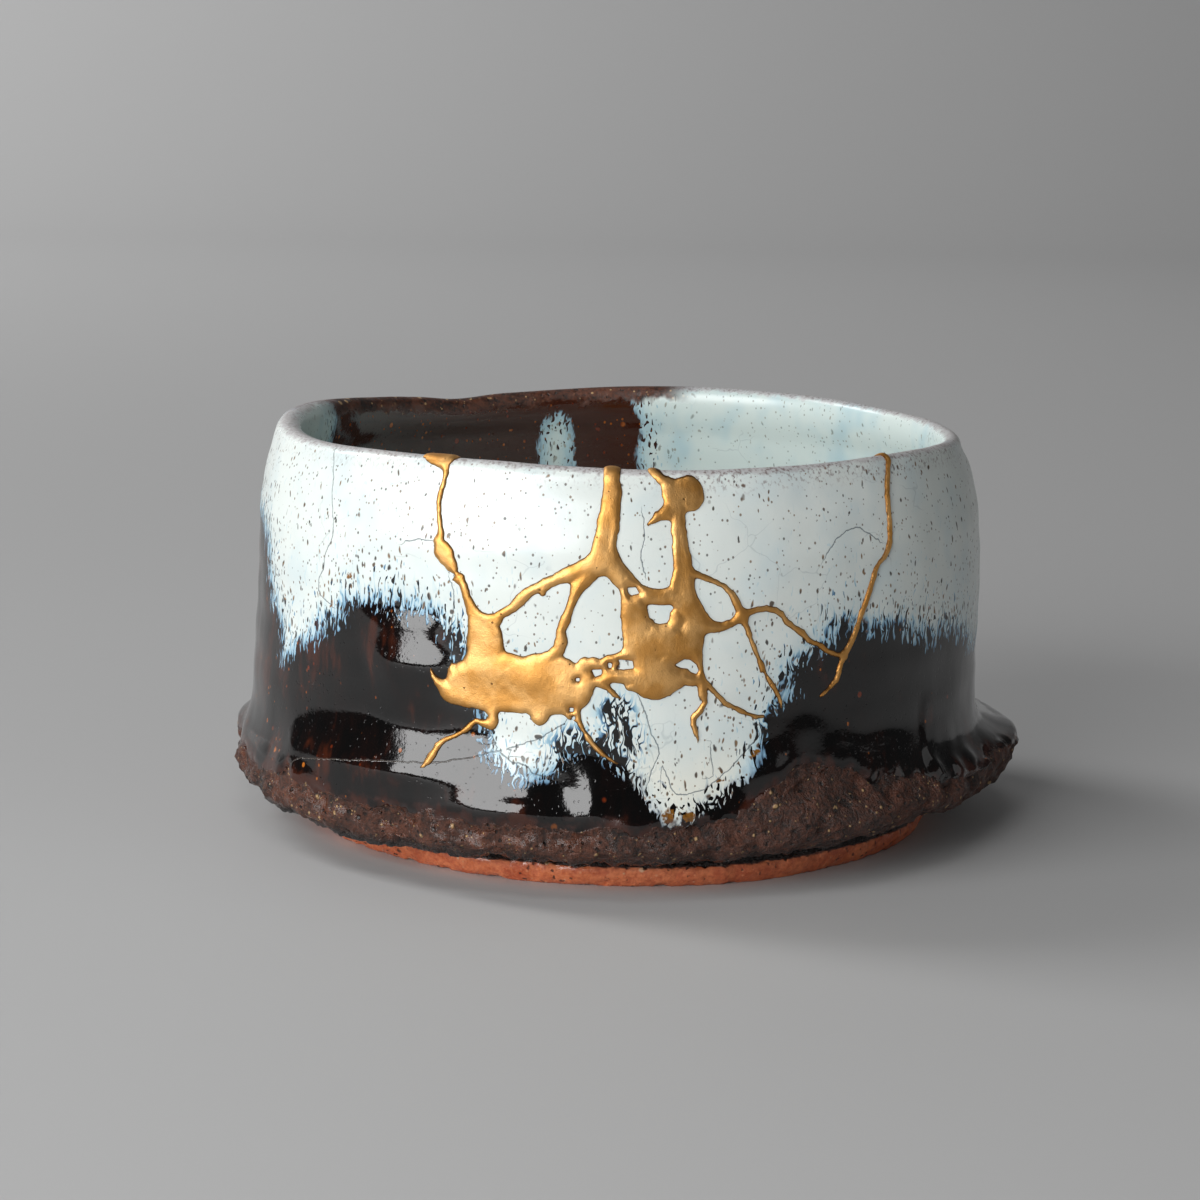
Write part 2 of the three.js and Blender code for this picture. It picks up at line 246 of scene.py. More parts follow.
def lumps(place, size, seed):
    """Soft lumps of about the given size in mm at each place, from -1 to 1."""
    lattice = np.random.default_rng(seed).uniform(-1, 1, (LATTICE, LATTICE, LATTICE))
    scaled = np.asarray(place, float) / size + 1000.0
    corner = np.floor(scaled).astype(int)
    share = scaled - corner
    share = share * share * (3 - 2 * share)
    total = np.zeros(len(scaled))
    for step in np.ndindex(2, 2, 2):
        weight = np.prod(np.where(np.array(step) == 1, share, 1 - share), axis=1)
        x, y, z = ((corner + step) % LATTICE).T
        total += weight * lattice[x, y, z]
    return total * 1.4


def ease(low, high, value):
    """0 below low, 1 above high and a smooth step between them."""
    share = np.clip((value - low) / (high - low), 0, 1)
    return share * share * (3 - 2 * share)

# %% [markdown]
# Two glazes cover the bowl. A pale, milky one lies over a black one and ran down in lobes, and
# both stop short of the rough clay ledge. Where they end is drawn as outlines on the unrolled
# wall: "along" is measured round a circle of the reference radius from the middle of the
# front, positive to the right, and the second number is the height. The unrolled wall is cut
# at the back left, where all of it is black.

# %% Where the glazes end
CUT_ANGLE = -145.0
PER_DEGREE = REFERENCE_RADIUS * math.pi / 180

PALE_OUTSIDE = [
    (-113, 92), (-112, 76), (-108, 66), (-103, 59), (-97, 56), (-91, 54.4), (-85, 53),
    (-82, 51.4), (-80.4, 50), (-80, 47), (-79, 44.4), (-78.2, 42.2), (-76.4, 41.2),
    (-74, 38.8), (-72.2, 37), (-71.4, 34.6), (-70.8, 32.4), (-68, 33), (-65.6, 33.6),
    (-63, 34.8), (-60, 36.6), (-57.6, 38.4), (-55.6, 40.2), (-53, 41.4), (-51.4, 43),
    (-49, 44.4), (-46, 45), (-43, 45.8), (-39, 45.7), (-35, 45.2), (-32.6, 44.2),
    (-31, 42.2), (-29.6, 40.2), (-27.6, 38.8), (-25.6, 37.4), (-25, 33), (-24.8, 28),
    (-24.3, 24.6), (-23, 22.2), (-21.6, 20.2), (-19.6, 18.6), (-17, 17.7), (-14, 18.2),
    (-10.6, 19.6), (-7.8, 21.6), (-5.6, 23.2), (-4, 22.2), (-2.8, 21), (-1.4, 20.2),
    (0.2, 19.4), (2, 17.8), (4.2, 16.2), (5.6, 14.8), (6.1, 13.2), (9, 12.8), (13, 13.2),
    (14.4, 14.8), (16, 15.4), (18, 15.2), (19.2, 17), (21, 19), (22.2, 21.6), (24.4, 24),
    (25.8, 26), (26.6, 29), (27.8, 32.2), (29.4, 34), (30.2, 36.6), (32.4, 37.8),
    (34.6, 39), (35.6, 42), (37.4, 43.4), (40, 43.6), (42.6, 42.6), (46, 42.4), (50, 41.6),
    (54, 40.8), (58, 39.6), (63, 38.7), (69, 38.5), (74, 37.6), (77.5, 36), (80.5, 34),
    (86, 33.2), (92, 34), (98, 36.5), (105, 39.5), (112, 38), (120, 41), (130, 37.5),
    (140, 42), (150, 39), (160, 43), (168, 40.5), (176, 45), (182, 51), (187, 59),
    (190, 67), (191.5, 76), (192, 92),
]
PALE_INSIDE = [
    (-128, 92), (-126, 60), (-123, 40), (-118, 20), (-110, -5), (196, -5), (198, 20),
    (201, 40), (199.5, 50), (202, 57), (200.5, 63), (203, 68), (200, 92),
]
PALE_DRIP = [
    (218.7, 66.4), (221.4, 65.7), (223, 63.4), (223.4, 58), (222.8, 48), (221.8, 39),
    (220.4, 33), (218.8, 31), (217, 33.4), (215.4, 40), (214.4, 50), (214, 58),
    (214.5, 63.4), (216.2, 65.8),
]
GLAZE_FOOT = [
    (-164, 12.5), (-150, 13.2), (-135, 12.2), (-118, 13.4), (-105, 12.4), (-92, 13.2),
    (-84, 13), (-76, 12.5), (-65, 13.5), (-62.5, 15.4), (-60.5, 13.6), (-54, 13.2),
    (-48, 12.7), (-44.8, 12.4), (-40, 12.9), (-34, 12.7), (-28, 13), (-22, 12.1),
    (-16, 12.9), (-10, 12.2), (-4, 12.8), (-1.5, 13.3), (0.5, 12.4), (3, 11.7),
    (6.2, 12.9), (10, 13.1), (14.5, 13.2), (17.5, 14.1), (20, 15.4), (23, 17.6),
    (26.6, 19.4), (29, 21.4), (31.4, 22.5), (34.2, 22), (37, 20.4), (40, 20.2),
    (43, 18.2), (47, 17.7), (51, 17.8), (55, 17), (59, 16), (61, 14.9), (63, 15.4),
    (66.4, 14.7), (69, 15.2), (72, 14.6), (77, 15.2), (84, 16), (92, 15.5), (104, 14.4),
    (118, 15.6), (132, 14), (148, 15.2), (162, 13.6), (180, 14.8), (196, 13.2),
    (214, 14.2), (228, 12.8), (244.5, 12.5),
]


def along_wall(angle):
    """Unrolled distance from the middle of the front, positive to the right."""
    degrees = np.degrees(angle - FRONT)
    return ((degrees - CUT_ANGLE) % 360 + CUT_ANGLE) * PER_DEGREE


def off_piece(along, height, start, end):
    """Each place's offset from a straight piece of a line, and its share along the piece."""
    (x0, y0), (x1, y1) = start, end
    dx, dy = x1 - x0, y1 - y0
    share = ((along - x0) * dx + (height - y0) * dy) / (dx * dx + dy * dy)
    share = np.clip(share, 0, 1)
    return along - x0 - share * dx, height - y0 - share * dy, share


def depth_in_outline(along, height, outline):
    """How deep each place lies inside a closed outline in mm, negative outside."""
    corners = np.array(outline, float)
    nearest = np.full(len(along), 1e9)
    inside = np.zeros(len(along), bool)
    for start, end in zip(corners, np.roll(corners, -1, axis=0)):
        off_x, off_y, _ = off_piece(along, height, start, end)
        nearest = np.minimum(nearest, np.hypot(off_x, off_y))
        (x0, y0), (x1, y1) = start, end
        if y0 != y1:
            crosses = (y0 > height) != (y1 > height)
            inside ^= crosses & (along < x0 + (height - y0) / (y1 - y0) * (x1 - x0))
    return np.where(inside, nearest, -nearest)


def height_along(outline, along):
    """The height of an open edge at each place along the wall."""
    return np.interp(along, *np.array(outline, float).T)

# %% [markdown]
# The relief of the wall comes next. Outside, the black glaze gathered in a thick roll over the
# ledge at the front left, a fold of it stands at the right, and drops of it hang over the
# ledge. A thumb left a soft step in the wall above the roll. The wall itself waves gently, as
# a thrown wall does. One function gives all of this, because the gold has to follow the same
# surface.

# %% Relief of the wall
ROLLS = [
    # along, height, half length, half height, how far out
    (-44, 19.2, 20, 3.0, 0.95),
    (-16, 14.6, 8, 3.0, 0.9),
    (-3.5, 17.2, 3.6, 4.2, 0.6),
    (2.2, 13.2, 3.2, 2.4, 0.9),
    (9.5, 15.6, 5.5, 3.0, 0.45),
    (24.5, 22.0, 4.0, 4.5, 0.4),
    (61.0, 16.8, 1.3, 2.6, 0.75),
    (67.6, 15.8, 1.5, 2.0, 0.7),
    (73.5, 16.6, 2.2, 2.2, 0.5),
    (88, 17.0, 5.0, 2.6, 0.5),
    (122, 18.0, 7.0, 3.0, 0.6),
    (151, 17.0, 6.0, 3.2, 0.6),
    (187, 17.4, 9.0, 3.0, 0.6),
    (-128, 16.6, 9.0, 2.8, 0.6),
    (-95, 17.0, 6.0, 3.0, 0.4),
]
FOLD_ALONG = 59.0
THUMB_TOP, THUMB_RIDGE, THUMB_END = 46.0, 37.0, 25.0
THUMB_OUT = 1.5


def roll_relief(along, height):
    """How far the thick rolls and drops of glaze stand out of the wall, in mm."""
    total = np.zeros_like(along)
    for centre, middle, half_length, half_height, out in ROLLS:
        far = ((along - centre) / half_length) ** 2 + ((height - middle) / half_height) ** 2
        total = total + out * np.exp(-far)
    beyond = ease(-0.3, 0.9, along - FOLD_ALONG - 0.04 * (height - 22) ** 2 * 0.3)
    fold = beyond * ease(15, 18, height) * ease(31, 27, height) * ease(82, 66, along)
    skirt = ease(29, 18, height) * ease(-72, -60, along) * ease(-8, -20, along)
    thumb = np.minimum((THUMB_TOP - height) / (THUMB_TOP - THUMB_RIDGE), 1)
    thumb = np.clip(thumb, 0, 1) * ease(THUMB_END, THUMB_RIDGE + 1, height)
    thumb = thumb * ease(-49, -40, along + 0.4 * (height - 40)) * ease(-27, -34, along)
    return total + 0.4 * fold + 0.9 * skirt + THUMB_OUT * thumb


def wall_relief(place, along, height, outward):
    """How far the surface stands out of the smooth section, where outward is 1 outside."""
    slow = 0.22 * lumps(place, 17, 11) + 0.09 * lumps(place, 7, 12)
    rings = 0.05 * np.sin(height * 0.9 + 1.5 * lumps(place, 30, 13))
    inner = 0.18 * lumps(place, 21, 14) + 0.06 * np.sin(height * 1.1)
    return outward * (slow + rings + roll_relief(along, height)) + (1 - outward) * inner

# %% [markdown]
# The skin of the bowl is a grid of rows along the section and columns round the bowl, closed
# at the middle of the underside and of the inside. Rows lie closer where the clay is rough and
# round the lip. A grid keeps the faces even and the edge loops level, and a remesh would not.

# %% Rows along the section
ROW_SPACING = {
    0: 7.0, 1: 5.0, 2: 0.9, 3: 1.3, 4: 0.4, 5: 0.6, 6: 0.5, 7: 0.7, 8: 0.65, 9: 0.65,
    10: 0.5, 11: 0.65, 12: 0.65, 13: 0.7, 14: 0.8, 15: 0.85, 16: 0.95, 17: 0.95, 18: 0.95,
    19: 0.9, 20: 0.8, 21: 0.75, 22: 0.6, 23: 0.6, 24: 0.6, 25: 0.7, 26: 1.3, 27: 1.8,
    28: 2.0, 29: 2.2, 30: 2.2, 31: 2.0, 32: 2.2, 33: 3.5, 34: 4.5, 35: 6.0,
}

row_lengths = []
for piece, spacing in ROW_SPACING.items():
    length = knots[piece + 1] - knots[piece]
    count = max(1, round(length / spacing))
    row_lengths += [knots[piece] + length * step / count for step in range(count)]
row_lengths = np.array(row_lengths[1:])


def skin_place(angle, along_line):
    """Places on the smooth skin in mm, and their height and radius."""
    radius, height = on_section(angle, along_line)
    place = np.stack([radius * np.cos(angle), radius * np.sin(angle), height], axis=1)
    return place + AXIS, radius, height


def skin_normal(angle, along_line):
    """The direction out of the smooth skin."""
    step = 0.15
    ends = (0.01, knots[-1] - 0.01)
    low = np.clip(along_line - step, *ends)
    high = np.clip(along_line + step, *ends)
    up = skin_place(angle, high)[0] - skin_place(angle, low)[0]
    turn = step / REFERENCE_RADIUS
    sideways = skin_place(angle + turn, along_line)[0] - skin_place(angle - turn, along_line)[0]
    normal = np.cross(sideways, up)
    return normal / np.linalg.norm(normal, axis=1, keepdims=True)


def outwardness(along_line):
    """1 on the outside of the bowl, 0 on its inside, and a smooth change over the lip."""
    return ease(3.0, -3.0, along_line - LINE_LIP)


print("skin:", len(row_lengths), "rows x", COUNT_ROUND, "columns")

# %% [markdown]
# Now the rough parts. The ledge is open clay full of grit, torn and lumpy. The foot is a finer
# clay, only grainy, and over it glaze ran into the groove and froze there. The glaze stands
# like a skin over the clay where it stops. Grit finer than the grid is left to the material.

# %% Roughness of the clay
def clay_relief(place, along, height, along_line):
    """How far the clay and the glaze's lower edge stand out, in mm."""
    outside = (along_line < LINE_LIP).astype(float)
    ragged = 0.8 * lumps(place, 2.6, 23) + 0.4 * lumps(place, 1.1, 24)
    over_foot_line = height - height_along(GLAZE_FOOT, along)
    above = over_foot_line + ragged
    bare = ease(0.3, -0.5, above) * outside
    ledge = bare * ease(LINE_GROOVE, LINE_FOLD, along_line)
    chunky = 0.5 * lumps(place, 5.2, 21) + 0.3 * lumps(place, 2.2, 22)
    grains = np.clip(lumps(place, 0.95, 25), -0.3, 1) * 0.42
    torn = -0.6 * ease(0.2, 0.7, lumps(place, 3.6, 26))
    skin_edge = 0.38 * ease(-0.4, 0.9, above) * ease(9, 2.5, over_foot_line) * outside
    foot = ease(LINE_GROOVE, LINE_FOOT_TOP, along_line) * ease(0, LINE_FOOT_INNER, along_line)
    foot_grain = foot * (0.1 * lumps(place, 1.8, 27) + 0.09 * lumps(place, 0.8, 28))
    foot_chips = foot * -0.3 * ease(0.5, 0.9, lumps(place, 3.0, 29))
    frozen = ease(LINE_FOOT_TOP, LINE_GROOVE, along_line) * ease(LINE_FOLD, LINE_GROOVE + 1, along_line)
    drops = frozen * (0.3 * lumps(place, 2.4, 30) + 0.25 * lumps(place, 5.5, 31))
    return ledge * (chunky + grains + torn) + skin_edge + foot_grain + foot_chips + drops

# %% [markdown]
# Section, wall and clay come together here. Both reliefs are laid on along the normal of the
# smooth section. Nothing may sink below the floor, so the foot ring is cut off flat there, as
# it is on a real bowl, where it was rubbed on a stone.

# %% Build the whole skin
def skin_surface(angle, line):
    """Places on the finished surface in mm, with their normals, distance along and height."""
    place, radius, height = skin_place(angle, line)
    normal = skin_normal(angle, line)
    along = along_wall(angle)
    relief = wall_relief(place, along, height, outwardness(line))
    relief = relief * ease(LINE_LEDGE, LINE_WALL, line) * ease(8, 30, radius)
    relief = relief + clay_relief(place, along, height, line)
    standing = (line > LINE_FOOT_INNER) & (line < LINE_FOOT_OUTER)
    relief = np.where(standing, np.minimum(relief, 0), relief)
    surface = place + normal * relief[:, None]
    surface[:, 2] = np.maximum(surface[:, 2], 0)
    return surface, normal, along, height


def build_skin():
    """Vertices in mm and faces of the closed skin."""
    rows, columns = len(row_lengths), COUNT_ROUND
    angle = np.tile(turn_angles, rows)
    line = np.repeat(row_lengths, columns)
    vertices = skin_surface(angle, line)[0]
    ends = np.array([[0, 0, RECESS_DEPTH], [0, 0, FLOOR_HEIGHT]]) + AXIS
    bottom, top = len(vertices), len(vertices) + 1
    vertices = np.concatenate([vertices, ends])
    faces = []
    after = [(column + 1) % columns for column in range(columns)]
    for row in range(rows - 1):
        here, above = row * columns, (row + 1) * columns
        faces += [(here + c, here + n, above + n, above + c) for c, n in enumerate(after)]
    last = (rows - 1) * columns
    faces += [(bottom, n, c) for c, n in enumerate(after)]
    faces += [(top, last + c, last + n) for c, n in enumerate(after)]
    return vertices, faces


def keep_used(vertices, faces):
    """The vertices that the faces use, and the faces with the new numbers."""
    used = np.unique(np.concatenate([np.array(face) for face in faces]))
    renumber = np.full(len(vertices), -1)
    renumber[used] = np.arange(len(used))
    return vertices[used], [tuple(int(renumber[v]) for v in face) for face in faces]


def mesh_object(name, vertices, faces):
    """A mesh object from vertices in mm."""
    mesh = bpy.data.meshes.new(name)
    mesh.from_pydata((np.asarray(vertices) * MM).tolist(), [], faces)
    mesh.validate()
    made = bpy.data.objects.new(name, mesh)
    bpy.context.scene.collection.objects.link(made)
    return made


skin_vertices, skin_faces = build_skin()
whole_bowl = mesh_object("whole_bowl", skin_vertices, skin_faces)
print("whole skin:", len(skin_vertices), "vertices,", len(skin_faces), "faces")

# %% [markdown]
# The gold was laid with a brush and pooled where pieces were missing. Each seam is a stroke: a
# row of dabs, each with its distance along the wall, its height and half its width. Strokes
# that meet run together, as wet lacquer does. In the pools a few small islands of glaze were
# left bare.

# %% Strokes of the brush
SEAMS = {
    "lip_chip": [(-36.9, 71.2, 0.5), (-34.6, 71.6, 1.7), (-32.6, 71.6, 2.1), (-30.9, 71.8, 1.0)],
    "lip_chip_tip": [(-33.2, 71.2, 1.6), (-31.9, 69.5, 0.7), (-31.6, 68.6, 0.5)],
    "left_seam": [
        (-31.6, 68.6, 0.45), (-31.7, 67.2, 0.55), (-32.0, 65.8, 0.52), (-32.0, 64, 0.5),
        (-31.7, 62, 0.45), (-31.3, 60.4, 0.42), (-31.0, 59.2, 0.6),
    ],
    "left_drop": [
        (-31.0, 59.2, 0.6), (-31.2, 57.9, 1.15), (-30.6, 56.7, 1.6), (-29.7, 55.5, 1.65),
        (-28.9, 54.4, 1.25), (-28.2, 53.6, 0.7), (-27.6, 52.8, 0.28), (-27.2, 52.3, 0.7),
    ],
    "left_spur": [(-27.2, 52.2, 0.5), (-28.3, 51.9, 0.15)],
    "left_seam_foot": [
        (-27.2, 52.3, 0.75), (-26.4, 51.1, 0.75), (-25.9, 49.6, 0.75), (-25.2, 48.1, 0.95),
        (-24.5, 46.8, 1.2), (-23.6, 45.4, 1.7),
    ],
    "left_column": [
        (-23.4, 44.8, 2.1), (-22.6, 43.4, 3.0), (-22.6, 41.4, 3.2), (-22.6, 39, 3.5),
        (-22.4, 36, 4.6),
    ],
    "left_column_top": [(-23.6, 45, 1.6), (-22.2, 45.6, 1.25), (-20.6, 46.2, 0.8)],
    "left_pool": [
        (-27.4, 33.6, 2.3), (-25.4, 34.9, 3.9), (-22, 35.8, 5.1), (-19, 35.8, 5.0),
        (-16, 35.6, 4.7), (-13, 35.9, 5.2), (-10.6, 35.9, 4.8), (-8.6, 35.4, 4.0),
    ],
    "left_pool_end": [(-8.6, 35.6, 3.8), (-7.2, 36.2, 2.6)],
    "left_pool_sag": [(-13.2, 32, 2.2), (-13.1, 30.8, 1.7)],
    "left_peak": [(-27.6, 35.4, 1.5), (-28.1, 37.2, 0.6), (-28.2, 38, 0.2)],
    "left_horn": [(-28.4, 33.6, 1.9), (-30.4, 34.9, 0.8), (-31.1, 35.8, 0.4), (-31.5, 37, 0.12)],
    "left_tail_hook": [(-21.2, 31.4, 1.2), (-20.9, 29.6, 1.0), (-21.3, 28.8, 0.85)],
    "left_tail": [
        (-21.3, 28.8, 0.8), (-22.7, 28.9, 0.6), (-23.8, 29.1, 0.52), (-25.5, 27.5, 0.46),
        (-27.5, 26.2, 0.4), (-29.3, 25.3, 0.5), (-30.2, 24.4, 0.62), (-31, 22.8, 0.62),
        (-31.6, 21.6, 0.58), (-32.2, 20.9, 0.36), (-32.8, 20.5, 0.12),
    ],
    "arm": [
        (-21, 45.8, 1.1), (-19.6, 47.1, 0.75), (-18, 48.1, 0.85), (-16.7, 49.5, 1.0),
        (-15.4, 50.8, 0.9), (-14, 51.6, 0.85), (-12.4, 52.5, 1.0), (-10.8, 53.3, 0.95),
        (-8.8, 54.0, 1.35), (-6.4, 54.9, 1.75), (-4, 56, 2.2),
    ],
    "arm_nub": [(-12.9, 51.5, 0.8), (-12.9, 50.9, 0.55)],
    "link": [
        (-6, 54, 1.6), (-7.3, 52.2, 1.3), (-8.0, 50.4, 0.75), (-8.5, 48.6, 0.62),
        (-9.2, 46.8, 0.85), (-9.95, 44.8, 0.75), (-9.8, 43.1, 1.15), (-10.3, 41.8, 1.1),
        (-11.6, 40.4, 1.3),
    ],
    "centre_seam": [
        (-2.6, 73, 1.5), (-2.4, 69.4, 1.45), (-2.2, 67, 1.6), (-2.4, 65, 1.75),
        (-2.8, 62.4, 1.85), (-3.0, 60, 1.9), (-3.3, 58, 2.2), (-3.4, 56.6, 2.5),
    ],
    "centre_leg": [
        (-3, 57, 2.0), (-1.5, 55.1, 1.8), (0.1, 53.4, 1.7), (1.8, 51.7, 1.5), (4, 50.9, 1.45),
        (6, 50.8, 1.4), (8, 50.9, 1.6),
    ],
    "stopper_bar": [
        (3.7, 71.6, 0.4), (4.4, 70.6, 0.7), (5.8, 69.3, 0.7), (7.4, 68.4, 1.2),
    ],
    "stopper_head": [(7.9, 67.1, 1.9), (9.4, 67.1, 2.5), (10.4, 67.0, 2.85)],
    "stopper_neck": [(8.1, 66.2, 1.9), (8.5, 64.6, 1.5), (8.6, 63, 1.1)],
    "stopper_spur": [(6.9, 64.2, 1.5), (5.4, 63.6, 0.8), (4.2, 62.7, 0.45), (3.6, 62.2, 0.2)],
    "stem": [
        (8.6, 63, 1.1), (8.8, 61, 1.3), (8.95, 59, 1.35), (9.3, 57, 1.6), (9.3, 55, 1.6),
        (9.3, 53, 2.0), (9.4, 51, 2.2),
    ],
    "right_pool_left": [
        (0.9, 51.4, 1.5), (1.5, 49.6, 2.1), (1.7, 48, 2.3), (2.1, 46, 2.5), (2.5, 44, 2.5),
        (3.3, 42, 2.8), (4.2, 39.4, 3.0),
    ],
    "right_pool_right": [
        (9.6, 50.4, 2.0), (11.2, 48, 2.0), (11.6, 47, 2.1), (11, 45, 2.2), (10.6, 43, 2.3),
        (10.5, 41, 2.45), (10.6, 39.4, 2.4),
    ],
    "right_pool_middle": [(3, 43.4, 3), (7, 43.4, 3.2), (10.4, 43.4, 2.3)],
    "right_pool_islet_side": [(5.8, 46, 1.6), (8.6, 47.4, 1.4), (7.6, 46, 1.6)],
    "right_pool_foot": [
        (3.2, 38.0, 3.0), (5.2, 37.6, 3.7), (7.4, 38.7, 3.6), (9.6, 39, 2.7), (11.2, 38.2, 1.8),
    ],
    "right_pool_tip": [(11.2, 37.6, 1.5), (12.3, 37.2, 1.1), (12.9, 36.4, 0.8)],
    "neck_top": [
        (-6.7, 38.4, 1.0), (-6.0, 39.6, 1.2), (-4.6, 39.6, 1.25), (-3.4, 39.4, 1.1),
        (-2.3, 40.1, 1.1), (-1.0, 40.5, 0.9), (0.5, 41.3, 0.9), (2.2, 41.8, 1.4),
    ],
    "neck_foot": [
        (-7, 37, 1.9), (-5.6, 36.9, 1.6), (-4.4, 37.3, 1.25), (-2.7, 37.7, 1.3),
        (-1, 37.8, 1.15), (0.6, 37.8, 1.15), (2, 37.6, 1.5),
    ],
    "neck_stay": [(-2.8, 37.8, 0.9), (-2.2, 39.0, 0.95), (-1.3, 40.2, 0.8)],
    "neck_spur": [(-3.4, 36.8, 0.9), (-2.2, 35.9, 0.55), (-1.2, 34.8, 0.45), (-0.2, 34.1, 0.2)],
    "right_pool_heel": [(2.2, 36.6, 1.3), (1.2, 36.0, 0.6)],
    "upper_branch": [
        (9.8, 54.9, 0.9), (11.2, 54.5, 0.62), (12.6, 54, 0.52), (14.6, 53.2, 0.46),
        (16.4, 52.3, 0.52), (17.5, 51.1, 0.6), (18.3, 49.6, 0.66), (19.2, 48, 0.85),
    ],
    "lower_branch": [
        (11.8, 46.6, 2.1), (13.2, 46.1, 1.5), (14.6, 45.8, 1.0), (16, 45.8, 0.72),
        (17.4, 46.3, 0.65), (19.2, 47.4, 1.0),
    ],
    "arch": [
        (19.2, 47.6, 1.0), (20.6, 48.1, 0.54), (22, 48.5, 0.5), (23.5, 48.6, 0.54),
        (25, 48.2, 0.52), (26.2, 47.4, 0.56), (27.2, 46.2, 0.54), (28.6, 45.1, 0.5),
        (30.2, 44.1, 0.5), (31.4, 42.8, 0.54), (32.6, 42.2, 0.5), (33.9, 41.7, 0.56),
        (35.2, 40.7, 0.5), (36.8, 40, 0.5), (38.6, 39.5, 0.56),
    ],
    "long_tail": [
        (19.5, 47.2, 0.8), (20.1, 45.6, 0.52), (21, 43.4, 0.45), (22, 41.2, 0.42),
        (23, 39.2, 0.42), (24, 37.3, 0.4), (25.2, 35.5, 0.42), (26.2, 34, 0.36),
        (26.7, 32.8, 0.28), (26.9, 31.7, 0.12),
    ],
    "long_tail_burr": [(23.2, 38.9, 0.3), (22.8, 37.6, 0.1)],
    "pool_drip": [(-9.2, 32.4, 1.0), (-8.2, 31.2, 0.9), (-7.4, 30.9, 0.7)],
    "pool_tail": [
        (-7.3, 31.6, 0.8), (-6.8, 30.3, 0.5), (-6.1, 28.8, 0.48), (-5.1, 27.3, 0.48),
        (-4, 26, 0.44), (-2.8, 24.9, 0.38), (-1.4, 24.0, 0.34), (-0.4, 23.4, 0.24),
    ],
    "right_tail": [
        (12.5, 37.4, 0.85), (14.1, 36.1, 0.48), (15.5, 34.6, 0.45), (17, 33.1, 0.45),
        (18.8, 32.2, 0.4), (20.8, 31.2, 0.4), (22.2, 30.7, 0.4), (23.6, 30.6, 0.32),
        (24.2, 30.6, 0.12),
    ],
    "short_tail": [
        (12.9, 36.2, 0.8), (13.1, 34.8, 0.75), (13.5, 33.4, 0.48), (12.8, 32.1, 0.58),
        (11.7, 30.9, 0.55), (11.6, 29.8, 0.45), (12.1, 28.6, 0.34), (12.5, 27.2, 0.24),
        (12.4, 26.3, 0.1),
    ],
    "right_seam": [
        (53.3, 73, 0.75), (52.5, 70.6, 0.65), (51.6, 68.6, 0.56), (50.6, 66.8, 0.6),
        (49.8, 65, 0.6), (49.5, 63, 0.6), (49.4, 61, 0.58), (49.1, 59, 0.6),
        (48.8, 57.6, 0.58), (48.2, 56.2, 0.5), (47.3, 55.2, 0.5), (46.2, 54.4, 0.48),
        (45.4, 53.4, 0.54), (44.7, 51.8, 0.54), (43.9, 50, 0.56), (43.1, 48.2, 0.56),
        (42.3, 46.4, 0.56), (41.6, 44.6, 0.58), (40.8, 42.8, 0.58), (39.8, 41, 0.56),
        (38.8, 39.6, 0.66),
    ],
    "right_seam_foot": [
        (38.7, 39.4, 0.62), (38.2, 38.2, 0.48), (37.8, 36.8, 0.54), (37.4, 35.6, 0.58),
        (36.4, 34.7, 0.52), (35.4, 33.8, 0.34), (34.6, 33.3, 0.24), (34.2, 33, 0.1),
    ],
}
BARE_SPOTS = [
    [(4.2, 49.2), (7.4, 49.3), (7.2, 47.2), (6.9, 46.7), (5.8, 46.5), (5.1, 46.7), (4.6, 47.7)],
    [(8.6, 39.7), (9.9, 40.5), (10.8, 40.4), (11.8, 39.6), (12.2, 38.7), (11.9, 38.3),
     (11.1, 38.6), (10.5, 39.2), (9.5, 39.3)],
    [(0.7, 52.1), (1.8, 52.2), (2.3, 51.4), (1.2, 51.1), (0.8, 51.5)],
    [(-0.5, 40.4), (1.5, 40.2), (1.7, 39.2), (0.1, 39.0)],
    [(-4.7, 38.6), (-3.4, 38.7), (-3.4, 38.1), (-4.3, 37.7)],
    [(-2.2, 39.8), (-1.8, 39.8), (-1.8, 39.2), (-2.1, 39.2)],
    [(-7.3, 37.1), (-6.9, 37.2), (-6.9, 36.8), (-7.3, 36.9)],
    [(-8.2, 32.2), (-7.8, 32.2), (-7.8, 31.8), (-8.2, 31.8)],
    [(-7.8, 30.8), (-7.5, 30.8), (-7.5, 30.5), (-7.8, 30.5)],
    [(-24.2, 30.7), (-22.6, 30.5), (-21.9, 30.1), (-22.4, 29.8), (-23.9, 29.9)],
]

# %% [markdown]
# The strokes become one smooth field over the unrolled wall: how far each place lies outside
# the gold. Two strokes melt into each other where their fields are nearly alike, which fills
# the corners between them. A bevelled curve for each stroke would leave hard creases there.

# %% The field of the seams
MELT = 0.7
MELT_IN_STROKE = 0.12
MELT_AT_SPOT = 0.25
SPOT_SHRINK = 0.12
WOBBLE = 0.09
BRUSH_PULL = 0.04


def melt(first, second, width):
    """The smaller of two fields, rounded where they are within the given width."""
    share = np.clip(0.5 + 0.5 * (second - first) / width, 0, 1)
    return second + (first - second) * share - width * share * (1 - share)


def outside_stroke(along, height, dabs):
    """How far each place lies outside one stroke, in mm."""
    nearest = np.full(along.shape, 99.0)
    for (*start, start_half), (*end, end_half) in zip(dabs, dabs[1:]):
        off_x, off_y, share = off_piece(along, height, start, end)
        half_width = start_half + (end_half - start_half) * share
        nearest = melt(nearest, np.hypot(off_x, off_y) - half_width, MELT_IN_STROKE)
    return nearest


